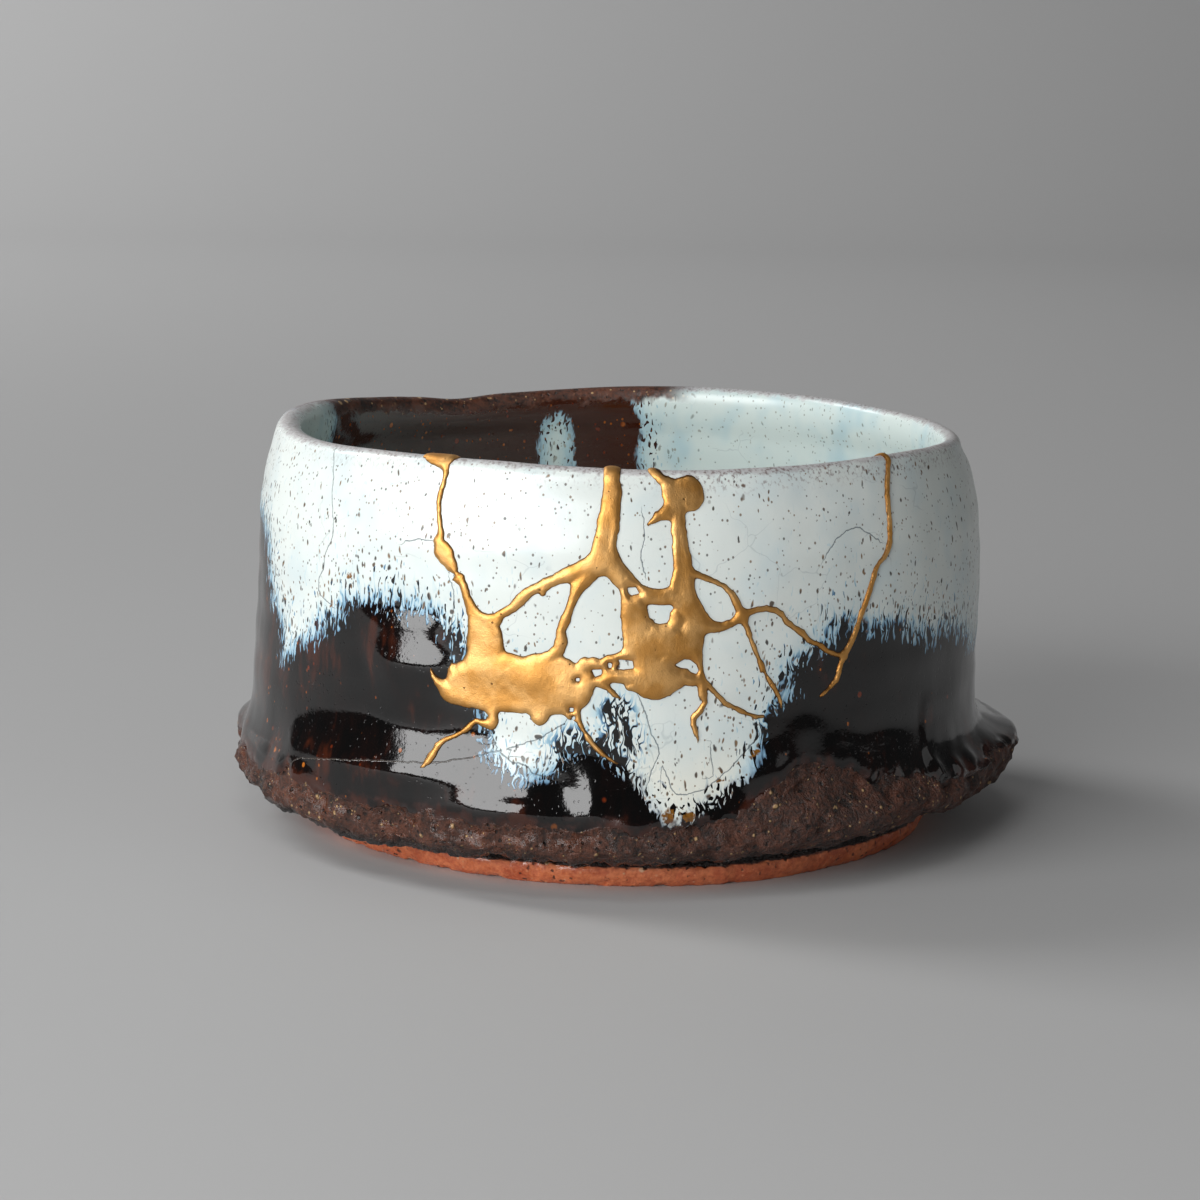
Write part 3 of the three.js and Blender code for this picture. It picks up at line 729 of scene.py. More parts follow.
def outside_gold(along, height):
    """How far each place on the unrolled wall lies outside the gold, in mm."""
    field = np.full(along.shape, 99.0)
    for dabs in SEAMS.values():
        field = melt(field, outside_stroke(along, height, dabs), MELT)
    flat = np.stack([along, height, np.zeros_like(along)], axis=-1).reshape(-1, 3)
    edge = WOBBLE * lumps(flat, 1.5, 41) + 0.6 * WOBBLE * lumps(flat, 0.6, 42)
    field = field + BRUSH_PULL + edge.reshape(along.shape)
    for corners in BARE_SPOTS:
        inside = depth_in_outline(along.ravel(), height.ravel(), corners).reshape(along.shape)
        field = -melt(-field, -(inside + SPOT_SHRINK), MELT_AT_SPOT)
    return field

# %% [markdown]
# A sheet is cut out of the wall along the line where that field is zero. The field is sampled
# on a fine grid, grid corners close to the line are moved onto it, and each triangle that the
# line still crosses is clipped. The clipped sheet has even triangles right up to its edge.

# %% Cut a sheet along the edge of a field
SNAP = 0.32


def snap_to_edge(across, up, field):
    """Grid corners with the close ones moved onto the edge, and the field there."""
    steep_up, steep_across = np.gradient(field)
    steep = steep_up**2 + steep_across**2 + 1e-9
    move_across = -field * steep_across / steep
    move_up = -field * steep_up / steep
    near = (np.abs(move_across) < SNAP) & (np.abs(move_up) < SNAP)
    near &= (up > 0) & (across > 0) & (across < field.shape[1] - 1)
    top = up == field.shape[0] - 1
    near_top = top & (np.abs(field / (steep_across + 1e-9)) < SNAP)
    move_across = np.where(top, -field / (steep_across + 1e-9), move_across)
    near = np.where(top, near_top, near)
    across = np.where(near, across + move_across, across)
    up = np.where(near & ~top, up + move_up, up)
    return list(zip(across.ravel(), up.ravel())), np.where(near, 0.0, field).ravel()


def grid_triangles(columns, rows):
    """Two triangles for each square of the grid, with the diagonals turning to and fro."""
    grid = np.arange(columns * rows).reshape(rows, columns)
    a, b = grid[:-1, :-1].ravel(), grid[:-1, 1:].ravel()
    c, d = grid[1:, 1:].ravel(), grid[1:, :-1].ravel()
    odd = ((np.indices((rows - 1, columns - 1)).sum(axis=0)) % 2 == 1).ravel()
    first = np.where(odd[:, None], np.stack([a, b, d], 1), np.stack([a, b, c], 1))
    second = np.where(odd[:, None], np.stack([b, c, d], 1), np.stack([a, c, d], 1))
    return np.concatenate([first, second])


def cut_sheet(columns, rows, field):
    """Grid places (column, row) and triangles of the part where the field is negative."""
    across, up = np.meshgrid(np.arange(columns, dtype=float), np.arange(rows, dtype=float))
    places, field = snap_to_edge(across, up, field)
    triangles = grid_triangles(columns, rows)
    triangles = triangles[(field[triangles] < 0).any(axis=1)]
    whole = (field[triangles] <= 0).all(axis=1)
    kept = triangles[whole].tolist()
    crossing = {}

    def meet(i, j):
        """The place where the edge of the sheet crosses the line between two corners."""
        key = (min(i, j), max(i, j))
        if key not in crossing:
            i, j = key
            share = field[i] / (field[i] - field[j])
            (x0, y0), (x1, y1) = places[i], places[j]
            places.append((x0 + (x1 - x0) * share, y0 + (y1 - y0) * share))
            crossing[key] = len(places) - 1
        return crossing[key]

    for corners in triangles[~whole].tolist():
        ring = []
        for i, j in zip(corners, corners[1:] + corners[:1]):
            if field[i] <= 0:
                ring.append(i)
            if field[i] * field[j] < 0:
                ring.append(meet(i, j))
        kept += [(ring[0], ring[k], ring[k + 1]) for k in range(1, len(ring) - 1)]
    used, renumbered = np.unique(np.array(kept), return_inverse=True)
    return np.array(places)[used], renumbered.reshape(-1, 3)


def open_edges(triangles):
    """The directed edges that only one triangle has."""
    edges = np.concatenate([triangles[:, [0, 1]], triangles[:, [1, 2]], triangles[:, [2, 0]]])
    present = set(map(tuple, edges.tolist()))
    return [edge for edge in present if (edge[1], edge[0]) not in present]

# %% [markdown]
# The same field cuts the bowl into its sherds. A block in the shape of the gold, a little
# narrower than the gold that covers it, runs straight out through the wall, and a boolean
# takes it away. The Manifold solver needs closed meshes on both sides, which these are, and it
# is quick at this size.

# %% Cut the bowl into sherds
SEAM_LEFT, SEAM_RIGHT = -39.0, 56.0
SEAM_LOW, SEAM_HIGH = 18.5, 75.0
JOINT_INSET = 0.1
CUT_STEP = 0.34
CUT_INNER, CUT_OUTER = 50.0, 80.0
MIDDLE_OF_WALL = 64.0


def seam_block():
    """A closed block in the shape of the gold, running out through the wall."""
    along = np.arange(SEAM_LEFT, SEAM_RIGHT, CUT_STEP)
    height = np.arange(SEAM_LOW, SEAM_HIGH, CUT_STEP)
    field = outside_gold(*np.meshgrid(along, height)) + JOINT_INSET
    field[-1] = np.abs(field[-1]) + 0.1
    places, triangles = cut_sheet(len(along), len(height), field)
    angle = (SEAM_LEFT + places[:, 0] * CUT_STEP) / REFERENCE_RADIUS + FRONT
    level = SEAM_LOW + places[:, 1] * CUT_STEP
    sheets = []
    for radius in (CUT_OUTER, CUT_INNER):
        sheets.append(np.stack([radius * np.cos(angle), radius * np.sin(angle), level], 1))
    count = len(places)
    faces = triangles.tolist()
    faces += [(c + count, b + count, a + count) for a, b, c in triangles.tolist()]
    faces += [(b, a, a + count, b + count) for a, b in open_edges(triangles)]
    return np.concatenate(sheets) + AXIS, faces


def loose_parts(mesh):
    """A number for each vertex, the same all over one loose part of the mesh."""
    ends = np.empty(len(mesh.edges) * 2, int)
    mesh.edges.foreach_get("vertices", ends)
    ends = ends.reshape(-1, 2)
    label = np.arange(len(mesh.vertices))
    while True:
        lowest = np.minimum(label[ends[:, 0]], label[ends[:, 1]])
        before = label.copy()
        np.minimum.at(label, ends[:, 0], lowest)
        np.minimum.at(label, ends[:, 1], lowest)
        label = label[label]
        if (label == before).all():
            return label


SHERD_SPOTS = {
    # along the wall from the front, and height
    "rim_sherd_left": (-18, 60),
    "rim_sherd_middle": (3, 60),
    "rim_sherd_right": (30, 55),
    "wall_sherd_left": (-14, 46),
    "wall_sherd_middle": (-4, 48),
    "wall_sherd_right": (14, 50),
}


def on_wall(along, height):
    """The place in mm of a spot in the middle of the wall's thickness."""
    angle = along / REFERENCE_RADIUS + FRONT
    across = (math.cos(angle) * MIDDLE_OF_WALL, math.sin(angle) * MIDDLE_OF_WALL)
    return np.array([*across, height]) + AXIS


def remove(piece):
    """Takes an object and its mesh out of the file."""
    mesh = piece.data
    bpy.data.objects.remove(piece)
    bpy.data.meshes.remove(mesh)


def cut_seams():
    """The cut bowl: vertices in mm, faces and the loose part that each vertex is in."""
    block = mesh_object("seam_block", *seam_block())
    cut = whole_bowl.modifiers.new("seams", "BOOLEAN")
    cut.operation = "DIFFERENCE"
    cut.solver = "MANIFOLD"
    cut.object = block
    depsgraph = bpy.context.evaluated_depsgraph_get()
    mesh = bpy.data.meshes.new_from_object(whole_bowl.evaluated_get(depsgraph))
    vertices = np.empty(len(mesh.vertices) * 3)
    mesh.vertices.foreach_get("co", vertices)
    faces = [tuple(face.vertices) for face in mesh.polygons]
    label = loose_parts(mesh)
    bpy.data.meshes.remove(mesh)
    remove(block)
    remove(whole_bowl)
    return vertices.reshape(-1, 3) / MM, faces, label


def name_parts(vertices, label):
    """The name of each loose part. The largest is the body, and crumbs go to a sherd near by."""
    sizes = {part: int((label == part).sum()) for part in np.unique(label)}
    body = max(sizes, key=sizes.get)
    named = {body: "bowl_body"}
    spots = {name: on_wall(*spot) for name, spot in SHERD_SPOTS.items()}
    for name, spot in spots.items():
        gaps = np.linalg.norm(vertices - spot, axis=1)
        gaps[label == body] = 1e9
        named[int(label[int(np.argmin(gaps))])] = name
    for part in sizes:
        if part not in named:
            middle = vertices[label == part].mean(axis=0)
            named[part] = min(spots, key=lambda name: np.linalg.norm(spots[name] - middle))
    return named


def cut_bowl():
    """The bowl and its sherds as separate meshes, by the name of the node each one covers."""
    vertices, faces, label = cut_seams()
    named = name_parts(vertices, label)
    parts = {name: [] for name in named.values()}
    for face in faces:
        parts[named[int(label[face[0]])]].append(face)
    made = {}
    for name, own in parts.items():
        made[name] = mesh_object(name + "_glazed", *keep_used(vertices, own))
        print(" ", made[name].name, len(own), "faces")
    return made


ceramic = cut_bowl()

# %% [markdown]
# The gold goes through the wall and laps over both faces of it, like a rivet. The cut sheet is
# laid on the outside and, mirrored, on the inside, and the two meet on the crest of the lip.
# Both are cut on one grid, whose rows lie on the section line and end at the crest.

# %% The grid under the gold
GOLD_STEP = 0.22
INNER_SAMPLES = 900

outer_lines = np.arange(LINE_LIP, LINE_WALL, -GOLD_STEP)[::-1]
front = np.full(len(outer_lines), FRONT)
outer_heights = on_section(front, outer_lines)[1]
outer_lines = outer_lines[outer_heights > SEAM_LOW]
outer_heights = outer_heights[outer_heights > SEAM_LOW]
inner_reach = np.linspace(LINE_LIP, LINE_FLOOR, INNER_SAMPLES)
inner_heights = on_section(np.full(INNER_SAMPLES, FRONT), inner_reach)[1]
inner_heights = np.minimum.accumulate(inner_heights)
inner_lines = np.interp(-outer_heights, -inner_heights, inner_reach)
inner_lines[-1] = LINE_LIP
TOP_ROW = len(outer_lines) - 1


def grid_angle(across):
    """The angle round the bowl at a column of the grid, which may lie between two."""
    return (SEAM_LEFT + across * GOLD_STEP) / REFERENCE_RADIUS + FRONT


def above_skin(across, row, lines, out):
    """Places in mm over the grid, at a height out of the outer or the inner skin."""
    line = np.interp(row, np.arange(TOP_ROW + 1), lines)
    place, normal, _, _ = skin_surface(grid_angle(across), line)
    return place + normal * np.asarray(out)[:, None]

# %% [markdown]
# Lacquer stands highest where the seam is wide. It swells a little from place to place, as the
# brush left it, and over the lip the outer and the inner thickness become the same.

# %% Thickness of the gold
GOLD_EDGE = 0.1
GOLD_HEIGHT = 0.5
GOLD_INSIDE = 0.3
GOLD_DOME = 0.45
LIP_ROWS = 26


def gold_thickness(along, height, row):
    """How thick the gold is outside and inside, in mm."""
    depth = np.clip(-outside_gold(along, height), 0, None)
    flat = np.stack([along, height, np.zeros_like(along)], axis=1)
    uneven = 0.15 * lumps(flat, 7.5, 51) + 0.035 * lumps(flat, 2.8, 52)
    uneven = uneven + 0.012 * lumps(flat, 1.1, 53) + 0.005 * lumps(flat, 0.5, 54)
    crown = 1 - np.exp(-depth / GOLD_DOME)
    thick = GOLD_EDGE + crown * (GOLD_HEIGHT + uneven * ease(0.1, 1.6, depth))
    thin = GOLD_EDGE + crown * (GOLD_INSIDE + 0.6 * uneven)
    over_lip = ease(TOP_ROW + 1 - LIP_ROWS, TOP_ROW, row)
    thick = between(thick, (thick + thin) / 2, over_lip)
    thin = between(thin, (thick + thin) / 2, over_lip)
    return thick, thin

# %% [markdown]
# The edge of the gold overhangs the joint by a fifth of a millimetre. To find where the joint
# lies under each place of the edge, the field is probed to both sides, and the place moves
# down its slope.

# %% The joint under the edge
LAP = 0.2
PROBE = 0.05


def step_in(across, row, along, height, on_crest):
    """Grid places of the joint under places of the edge."""
    side = outside_gold(along + PROBE, height)
    side = side - outside_gold(along - PROBE, height)
    rise = outside_gold(along, height + PROBE)
    rise = rise - outside_gold(along, height - PROBE)
    rise = np.where(on_crest, 0, rise)
    steep = np.hypot(side, rise) + 1e-9
    web_across = across - LAP * side / steep / GOLD_STEP
    web_row = np.clip(row - LAP * rise / steep / GOLD_STEP, 0, TOP_ROW)
    return web_across, np.where(on_crest, TOP_ROW, web_row)

# %% [markdown]
# Now the sheets and the rings of the joint are stitched into one body. Each open edge of the
# sheet gives a strip of faces from the outer sheet, in under the edge, through the wall and
# out to the inner sheet. On the crest the two sheets share their vertices.

# %% Lay the gold
UNDER_SKIN = -0.03
SHARP_ANGLE = math.radians(50)


def stitch(edges, chain):
    """Faces along the open edges, through a chain of vertex numbers from outside to inside."""
    faces = []
    for a, b in edges:
        for upper, lower in zip(chain, chain[1:]):
            corners = [int(upper[b]), int(upper[a]), int(lower[a]), int(lower[b])]
            corners = list(dict.fromkeys(corners))
            if len(corners) > 2:
                faces.append(tuple(corners))
    return faces


def lay_gold():
    """Vertices in mm and faces of the gold, one closed body."""
    along_steps = np.arange(SEAM_LEFT, SEAM_RIGHT, GOLD_STEP)
    columns, rows = len(along_steps), TOP_ROW + 1
    angles = along_steps / REFERENCE_RADIUS + FRONT
    heights = on_section(np.tile(angles, rows), np.repeat(outer_lines, columns))[1]
    field = outside_gold(np.tile(along_steps, (rows, 1)), heights.reshape(rows, columns))
    places, triangles = cut_sheet(columns, rows, field)
    across, row = places[:, 0], places[:, 1]
    on_crest = row > TOP_ROW - 1e-6
    along = SEAM_LEFT + across * GOLD_STEP
    lines = np.interp(row, np.arange(rows), outer_lines)
    height = on_section(along / REFERENCE_RADIUS + FRONT, lines)[1]
    thick, thin = gold_thickness(along, height, row)

    edges = [e for e in open_edges(triangles) if not (on_crest[e[0]] and on_crest[e[1]])]
    rim = np.unique(np.array(edges))
    at_rim = (across[rim], row[rim])
    at_joint = step_in(*at_rim, along[rim], height[rim], on_crest[rim])
    under = np.full(len(rim), UNDER_SKIN)
    sheets = [
        above_skin(across, row, outer_lines, thick),
        above_skin(across, row, inner_lines, thin),
        above_skin(*at_rim, outer_lines, under),
        above_skin(*at_joint, outer_lines, under),
        above_skin(*at_joint, inner_lines, under),
        above_skin(*at_rim, inner_lines, under),
    ]
    count, ring = len(places), len(rim)
    position = np.full(count, -1)
    position[rim] = np.arange(ring)
    first, last = np.arange(count), np.arange(count) + count
    last = np.where(on_crest, first, last)
    chain = [first] + [2 * count + k * ring + position for k in range(4)] + [last]
    chain[4] = np.where(on_crest, chain[1], chain[4])
    chain[3] = np.where(on_crest, chain[2], chain[3])
    faces = triangles.tolist()
    faces += [(last[c], last[b], last[a]) for a, b, c in triangles.tolist()]
    return keep_used(np.concatenate(sheets), faces + stitch(edges, chain))


gold = mesh_object("gold_seams_laid", *lay_gold())
print("gold:", len(gold.data.vertices), "vertices,", len(gold.data.polygons), "faces")
for piece in [gold, *ceramic.values()]:
    piece.data.shade_smooth()
    piece.data.set_sharp_from_angle(angle=SHARP_ANGLE)

# %% [markdown]
# Fine cracks run through the glaze without any gold, drawn here as lines on the unrolled wall.
# Round spots say where the pale glaze was stirred into the black one like marble, and where
# iron left an amber stain.

# %% Cracks and stains
HAIRLINES = [
    [(-59.6, 70.4), (-56.8, 65.2), (-55.4, 60.4), (-54.3, 57.2), (-54.4, 55.8), (-55.8, 54),
     (-56.6, 52.4), (-56.6, 50.4), (-58, 48.6), (-58.3, 46.5), (-57.4, 45.6), (-54.6, 44.6)],
    [(-61.6, 16.2), (-60, 17.5), (-56, 18.3), (-50, 19.3), (-44, 20.2), (-38, 20.9),
     (-30, 21.7), (-24, 23.2), (-18, 25.1), (-13, 27.0), (-9, 29.8)],
    [(-21, 26.8), (-19.6, 24.4), (-17.4, 22.9), (-15, 22.6), (-13.8, 21.3), (-11.8, 20.9)],
    [(-28.8, 51.6), (-28.2, 50), (-28, 47.6), (-28.6, 45)],
    [(2.6, 34.6), (4, 31.4), (4.9, 28.4), (6, 26.6), (6.2, 25), (6.9, 22.9), (7.8, 21),
     (8.3, 19.4), (8.9, 18.5), (11, 18.6), (13.6, 19.2), (16, 20.8), (18.2, 22.6),
     (20.6, 25), (22.4, 27)],
    [(6.2, 25), (5.6, 23.6), (5, 22), (4.6, 20.4)],
    [(14.6, 25.8), (15.0, 23), (15.1, 21)],
    [(3.0, 63.5), (3.1, 60), (2.6, 57), (3.2, 54.6)],
    [(-32.4, 57.8), (-35, 57.9), (-37.6, 57.2)],
    [(34.6, 56.4), (37, 59), (39.6, 60.3), (42, 60.6), (46, 58.2)],
    [(96, 70), (95, 62), (97, 54), (95.6, 47)],
    [(140, 70.5), (142, 63), (140.6, 56), (143, 50), (142, 45)],
]
MARBLED = [
    # along, height, reach and strength
    (-0.6, 32, 3.6, 1.0), (0.4, 27.5, 4.2, 1.0), (-2.4, 24, 4.2, 1.0), (-7.6, 26, 4.2, 0.9),
    (-22.8, 27, 2.6, 0.45), (-12, 26.4, 3.2, 0.45), (-19.6, 19.5, 4.5, 0.6),
    (1.0, 20.4, 3.0, 0.55), (17.6, 17.2, 3.0, 0.6), (12.6, 15.6, 3.2, 0.35),
    (25.6, 28.5, 3.0, 0.6), (31.4, 38.4, 3.2, 0.6), (-28.6, 42.4, 3.2, 0.6),
]
AMBER_STAINS = [
    (7.6, 15.2, 1.4), (10.9, 15.0, 1.2), (22.3, 24.8, 1.0), (-49.6, 50.2, 0.9),
    (-54.4, 44.7, 0.8), (-62, 39.4, 0.6), (-70, 43.2, 0.7), (16.2, 20.6, 0.7),
]
FLAWS_NEAR = 1.6


def nearest_hairline(along, height):
    """Signed distance to the nearest hairline in mm, one side of it negative."""
    best = np.full(len(along), 99.0)
    signed = np.full(len(along), 99.0)
    for points in HAIRLINES:
        for start, end in zip(points, points[1:]):
            off_x, off_y, _ = off_piece(along, height, start, end)
            gap = np.hypot(off_x, off_y)
            turned = (end[0] - start[0]) * off_y - (end[1] - start[1]) * off_x
            side = np.where(turned < 0, -1.0, 1.0)
            closer = gap < best
            best = np.where(closer, gap, best)
            signed = np.where(closer, side * gap, signed)
    return signed

# %% [markdown]
# The finish needs to know, at every vertex, how far it lies from the ends of the glazes, the
# lip and the foot. These go on the mesh as attributes in millimetres, worked out from where
# each vertex is, so that sherds and bowl agree across the seams. A texture map would need
# unwrapping and would be as coarse as its grid, while noise can roughen an attribute's edge.

# %% Measures on the mesh
def measures(place):
    """The measures that the finish reads, by name, at places in mm."""
    own = place - AXIS
    angle = np.arctan2(own[:, 1], own[:, 0])
    radius = np.hypot(own[:, 0], own[:, 1])
    height = own[:, 2]
    along = along_wall(angle)
    lip = lip_radius(angle)
    middle = np.interp(height, [7, 15, 20, 58], [57.5, 58.5, 61.5, 62.6])
    middle = between(middle, lip, ease(58, 68, height))
    inside = (height > 7.5) & (radius < middle)
    pale_out = depth_in_outline(along, height, PALE_OUTSIDE)
    pale_in = depth_in_outline(along, height, PALE_INSIDE)
    pale_in = np.maximum(pale_in, depth_in_outline(along, height, PALE_DRIP))
    marbled = np.zeros(len(along))
    for x, y, reach, strength in MARBLED:
        far = ((along - x) ** 2 + (height - y) ** 2) / reach**2
        marbled = np.maximum(marbled, strength * np.exp(-far))
    stain = np.zeros(len(along))
    for x, y, reach in AMBER_STAINS:
        far = np.hypot(along - x, height - y)
        stain = np.maximum(stain, ease(1.5 * reach, 0.2 * reach, far))
    hairline = nearest_hairline(along, height)
    outside = ~inside
    bare_lip = np.maximum(ease(187, 196, along), ease(-118, -132, along))
    groove = ease(FOOT_HEIGHT - 0.2, FOOT_HEIGHT + 1.0, height) * ease(8.2, 5.6, height)
    return {
        "pale_depth": np.clip(np.where(inside, pale_in, pale_out), -15, 30),
        "above_clay": np.where(inside, 20.0, height - height_along(GLAZE_FOOT, along)),
        "below_lip": lip_crest(angle) - height,
        "inner_face": inside.astype(float),
        "foot_depth": np.where(outside, FOOT_HEIGHT + 0.4 - height, -9.0),
        "groove": groove * outside,
        "bare_lip": bare_lip,
        "marbled": marbled * outside,
        "amber_stain": stain * outside,
        "hairline": np.where(outside, hairline, 50.0),
        "hairline_near": (np.abs(hairline) < FLAWS_NEAR) * outside.astype(float),
        "left_warmth": ease(-30, -62, along) * outside,
        "cream": ease(31, 18, height) * ease(-3, 4, along) * ease(24, 18, along) * outside,
        "lip_band": (0.35 + 0.65 * ease(2, 12, along) * ease(90, 70, along)) * outside,
        "wet_clay": (0.5 + 0.5 * ease(12, -12, along)) * outside,
        "calm": np.where(inside, 1.0, 0.92 * ease(36, 27, height) * ease(34, 26, np.abs(along))),
    }


def gold_measures(place):
    """How far the gold at places in mm lies from the edge of the gold."""
    own = place - AXIS
    along = along_wall(np.arctan2(own[:, 1], own[:, 0]))
    return {"from_edge": np.clip(-outside_gold(along, own[:, 2]), 0, 5)}


def write_measures(piece, find):
    """Puts measures on a mesh as attributes."""
    mesh = piece.data
    place = np.empty(len(mesh.vertices) * 3)
    mesh.vertices.foreach_get("co", place)
    for name, values in find(place.reshape(-1, 3) / MM).items():
        attribute = mesh.attributes.new(name, "FLOAT", "POINT")
        attribute.data.foreach_set("value", np.asarray(values, np.float32))


for piece in ceramic.values():
    write_measures(piece, measures)
write_measures(gold, gold_measures)
print("measures written on", len(ceramic), "ceramic pieces")

# %% [markdown]
# The finishes are built from noise in real millimetres, because a fired glaze has no seams and
# no two places alike. Streaks are noise that is drawn out downwards, as the glaze ran. A few
# short helpers wire the nodes, and each finish is a group that is built once.

# %% Wiring
def paint(red, green, blue):
    """A colour given as it looks on a screen, 0 to 255, as linear light."""
    def linear(value):
        value = value / 255
        return value / 12.92 if value <= 0.04045 else ((value + 0.055) / 1.055) ** 2.4

    return (linear(red), linear(green), linear(blue), 1.0)


class Wiring:
    """Adds nodes to a tree. An input takes a plain value or another node's output."""

    def __init__(self, tree):
        self.tree = tree

    def node(self, kind, feeds, **settings):
        made = self.tree.nodes.new(kind)
        for name, value in settings.items():
            setattr(made, name, value)
        for name, value in feeds.items():
            if isinstance(value, bpy.types.NodeSocket):
                self.tree.links.new(value, made.inputs[name])
            else:
                made.inputs[name].default_value = value
        return made

    def maths(self, operation, first, second=0.0):
        return self.node("ShaderNodeMath", {0: first, 1: second}, operation=operation).outputs[0]

    def add(self, first, second):
        return self.maths("ADD", first, second)

    def times(self, first, second):
        return self.maths("MULTIPLY", first, second)

    def most(self, first, second):
        return self.maths("MAXIMUM", first, second)

    def rest(self, value):
        return self.maths("SUBTRACT", 1.0, value)

    def ease(self, low, high, value):
        feeds = {"Value": value, "From Min": low, "From Max": high}
        return self.node("ShaderNodeMapRange", feeds, interpolation_type="SMOOTHSTEP").outputs[0]

    def scale(self, low, high, value):
        feeds = {"Value": value, "To Min": low, "To Max": high}
        return self.node("ShaderNodeMapRange", feeds).outputs[0]

    def stretch(self, at, across, down):
        """Places scaled so that a pattern is this many mm across and down."""
        sizes = (1 / across, 1 / across, 1 / down)
        made = self.node("ShaderNodeVectorMath", {0: at, 1: sizes}, operation="MULTIPLY")
        return made.outputs[0]

    def push(self, at, by, size):
        """Places pushed about by a colour noise, up to this many mm."""
        feeds = {0: by, 1: (0.5, 0.5, 0.5)}
        centred = self.node("ShaderNodeVectorMath", feeds, operation="SUBTRACT").outputs[0]
        scaled = self.node("ShaderNodeVectorMath", {0: centred, "Scale": size}, operation="SCALE")
        feeds = {0: at, 1: scaled.outputs[0]}
        return self.node("ShaderNodeVectorMath", feeds, operation="ADD").outputs[0]

    def noise(self, at, across, down=None, detail=2.0, rough=0.55):
        """Soft noise from 0 to 1, with its colour."""
        feeds = {
            "Vector": self.stretch(at, across, down or across),
            "Scale": 1.0,
            "Detail": detail,
            "Roughness": rough,
        }
        return self.node("ShaderNodeTexNoise", feeds)

    def cloud(self, at, across, down=None, detail=2.0, rough=0.55):
        """Soft noise stretched to run from about -1 to 1."""
        soft = self.noise(at, across, down, detail, rough).outputs[0]
        return self.times(self.add(soft, -0.5), 4.0)

    def cells(self, at, across, down=None):
        """Distance to the nearest of scattered spots in spot spacings, and its random colour."""
        feeds = {"Vector": self.stretch(at, across, down or across), "Scale": 1.0}
        return self.node("ShaderNodeTexVoronoi", feeds).outputs

    def spots(self, at, across, down, size, share):
        """Scattered spots of a size in spacings, of which a share is kept."""
        distance, colour, _ = self.cells(at, across, down)[:3]
        chance = self.node("ShaderNodeSeparateColor", {0: colour}).outputs
        reach = self.times(self.scale(0.45, 1.0, chance[1]), size)
        kept = self.ease(share, self.add(share, -0.02), chance[0])
        inside = self.ease(reach, self.times(reach, 0.55), distance)
        return self.times(inside, kept)

    def mix(self, share, first, second):
        made = self.node("ShaderNodeMix", {}, data_type="RGBA")
        for place, value in ((0, share), (6, first), (7, second)):
            if isinstance(value, bpy.types.NodeSocket):
                self.tree.links.new(value, made.inputs[place])
            else:
                made.inputs[place].default_value = value
        return made.outputs[2]

    def blend(self, share, first, second):
        """A plain value between two, by a share."""
        return self.add(first, self.times(share, self.add(second, self.times(first, -1.0))))

    def ramp(self, value, stops):
        """A colour from a row of (position, colour) stops."""
        made = self.node("ShaderNodeValToRGB", {0: value})
        row = made.color_ramp.elements
        while len(row) < len(stops):
            row.new(0.5)
        for element, (position, colour) in zip(row, stops):
            element.position = position
            element.color = colour
        return made.outputs[0]


def group(name, inputs, outputs):
    """An empty node group with its sockets, and the wiring of its tree."""
    tree = bpy.data.node_groups.new(name, "ShaderNodeTree")
    for direction, sockets in (("INPUT", inputs), ("OUTPUT", outputs)):
        for label, kind in sockets.items():
            tree.interface.new_socket(label, in_out=direction, socket_type="NodeSocket" + kind)
    wiring = Wiring(tree)
    entry = wiring.node("NodeGroupInput", {})
    return tree, wiring, entry.outputs

# %% [markdown]
# The pale glaze is an opaque white that was poured over the black one and ran down with it.
# Where the two meet they drew out into fine blue and white hairs, and iron from below came
# through as brown flecks. At the front the layers folded into each other like marbling. The
# distance from the edge of the pale glaze is pushed about by drawn out noise and looked up
# in one row of colours, from black over blue to white.

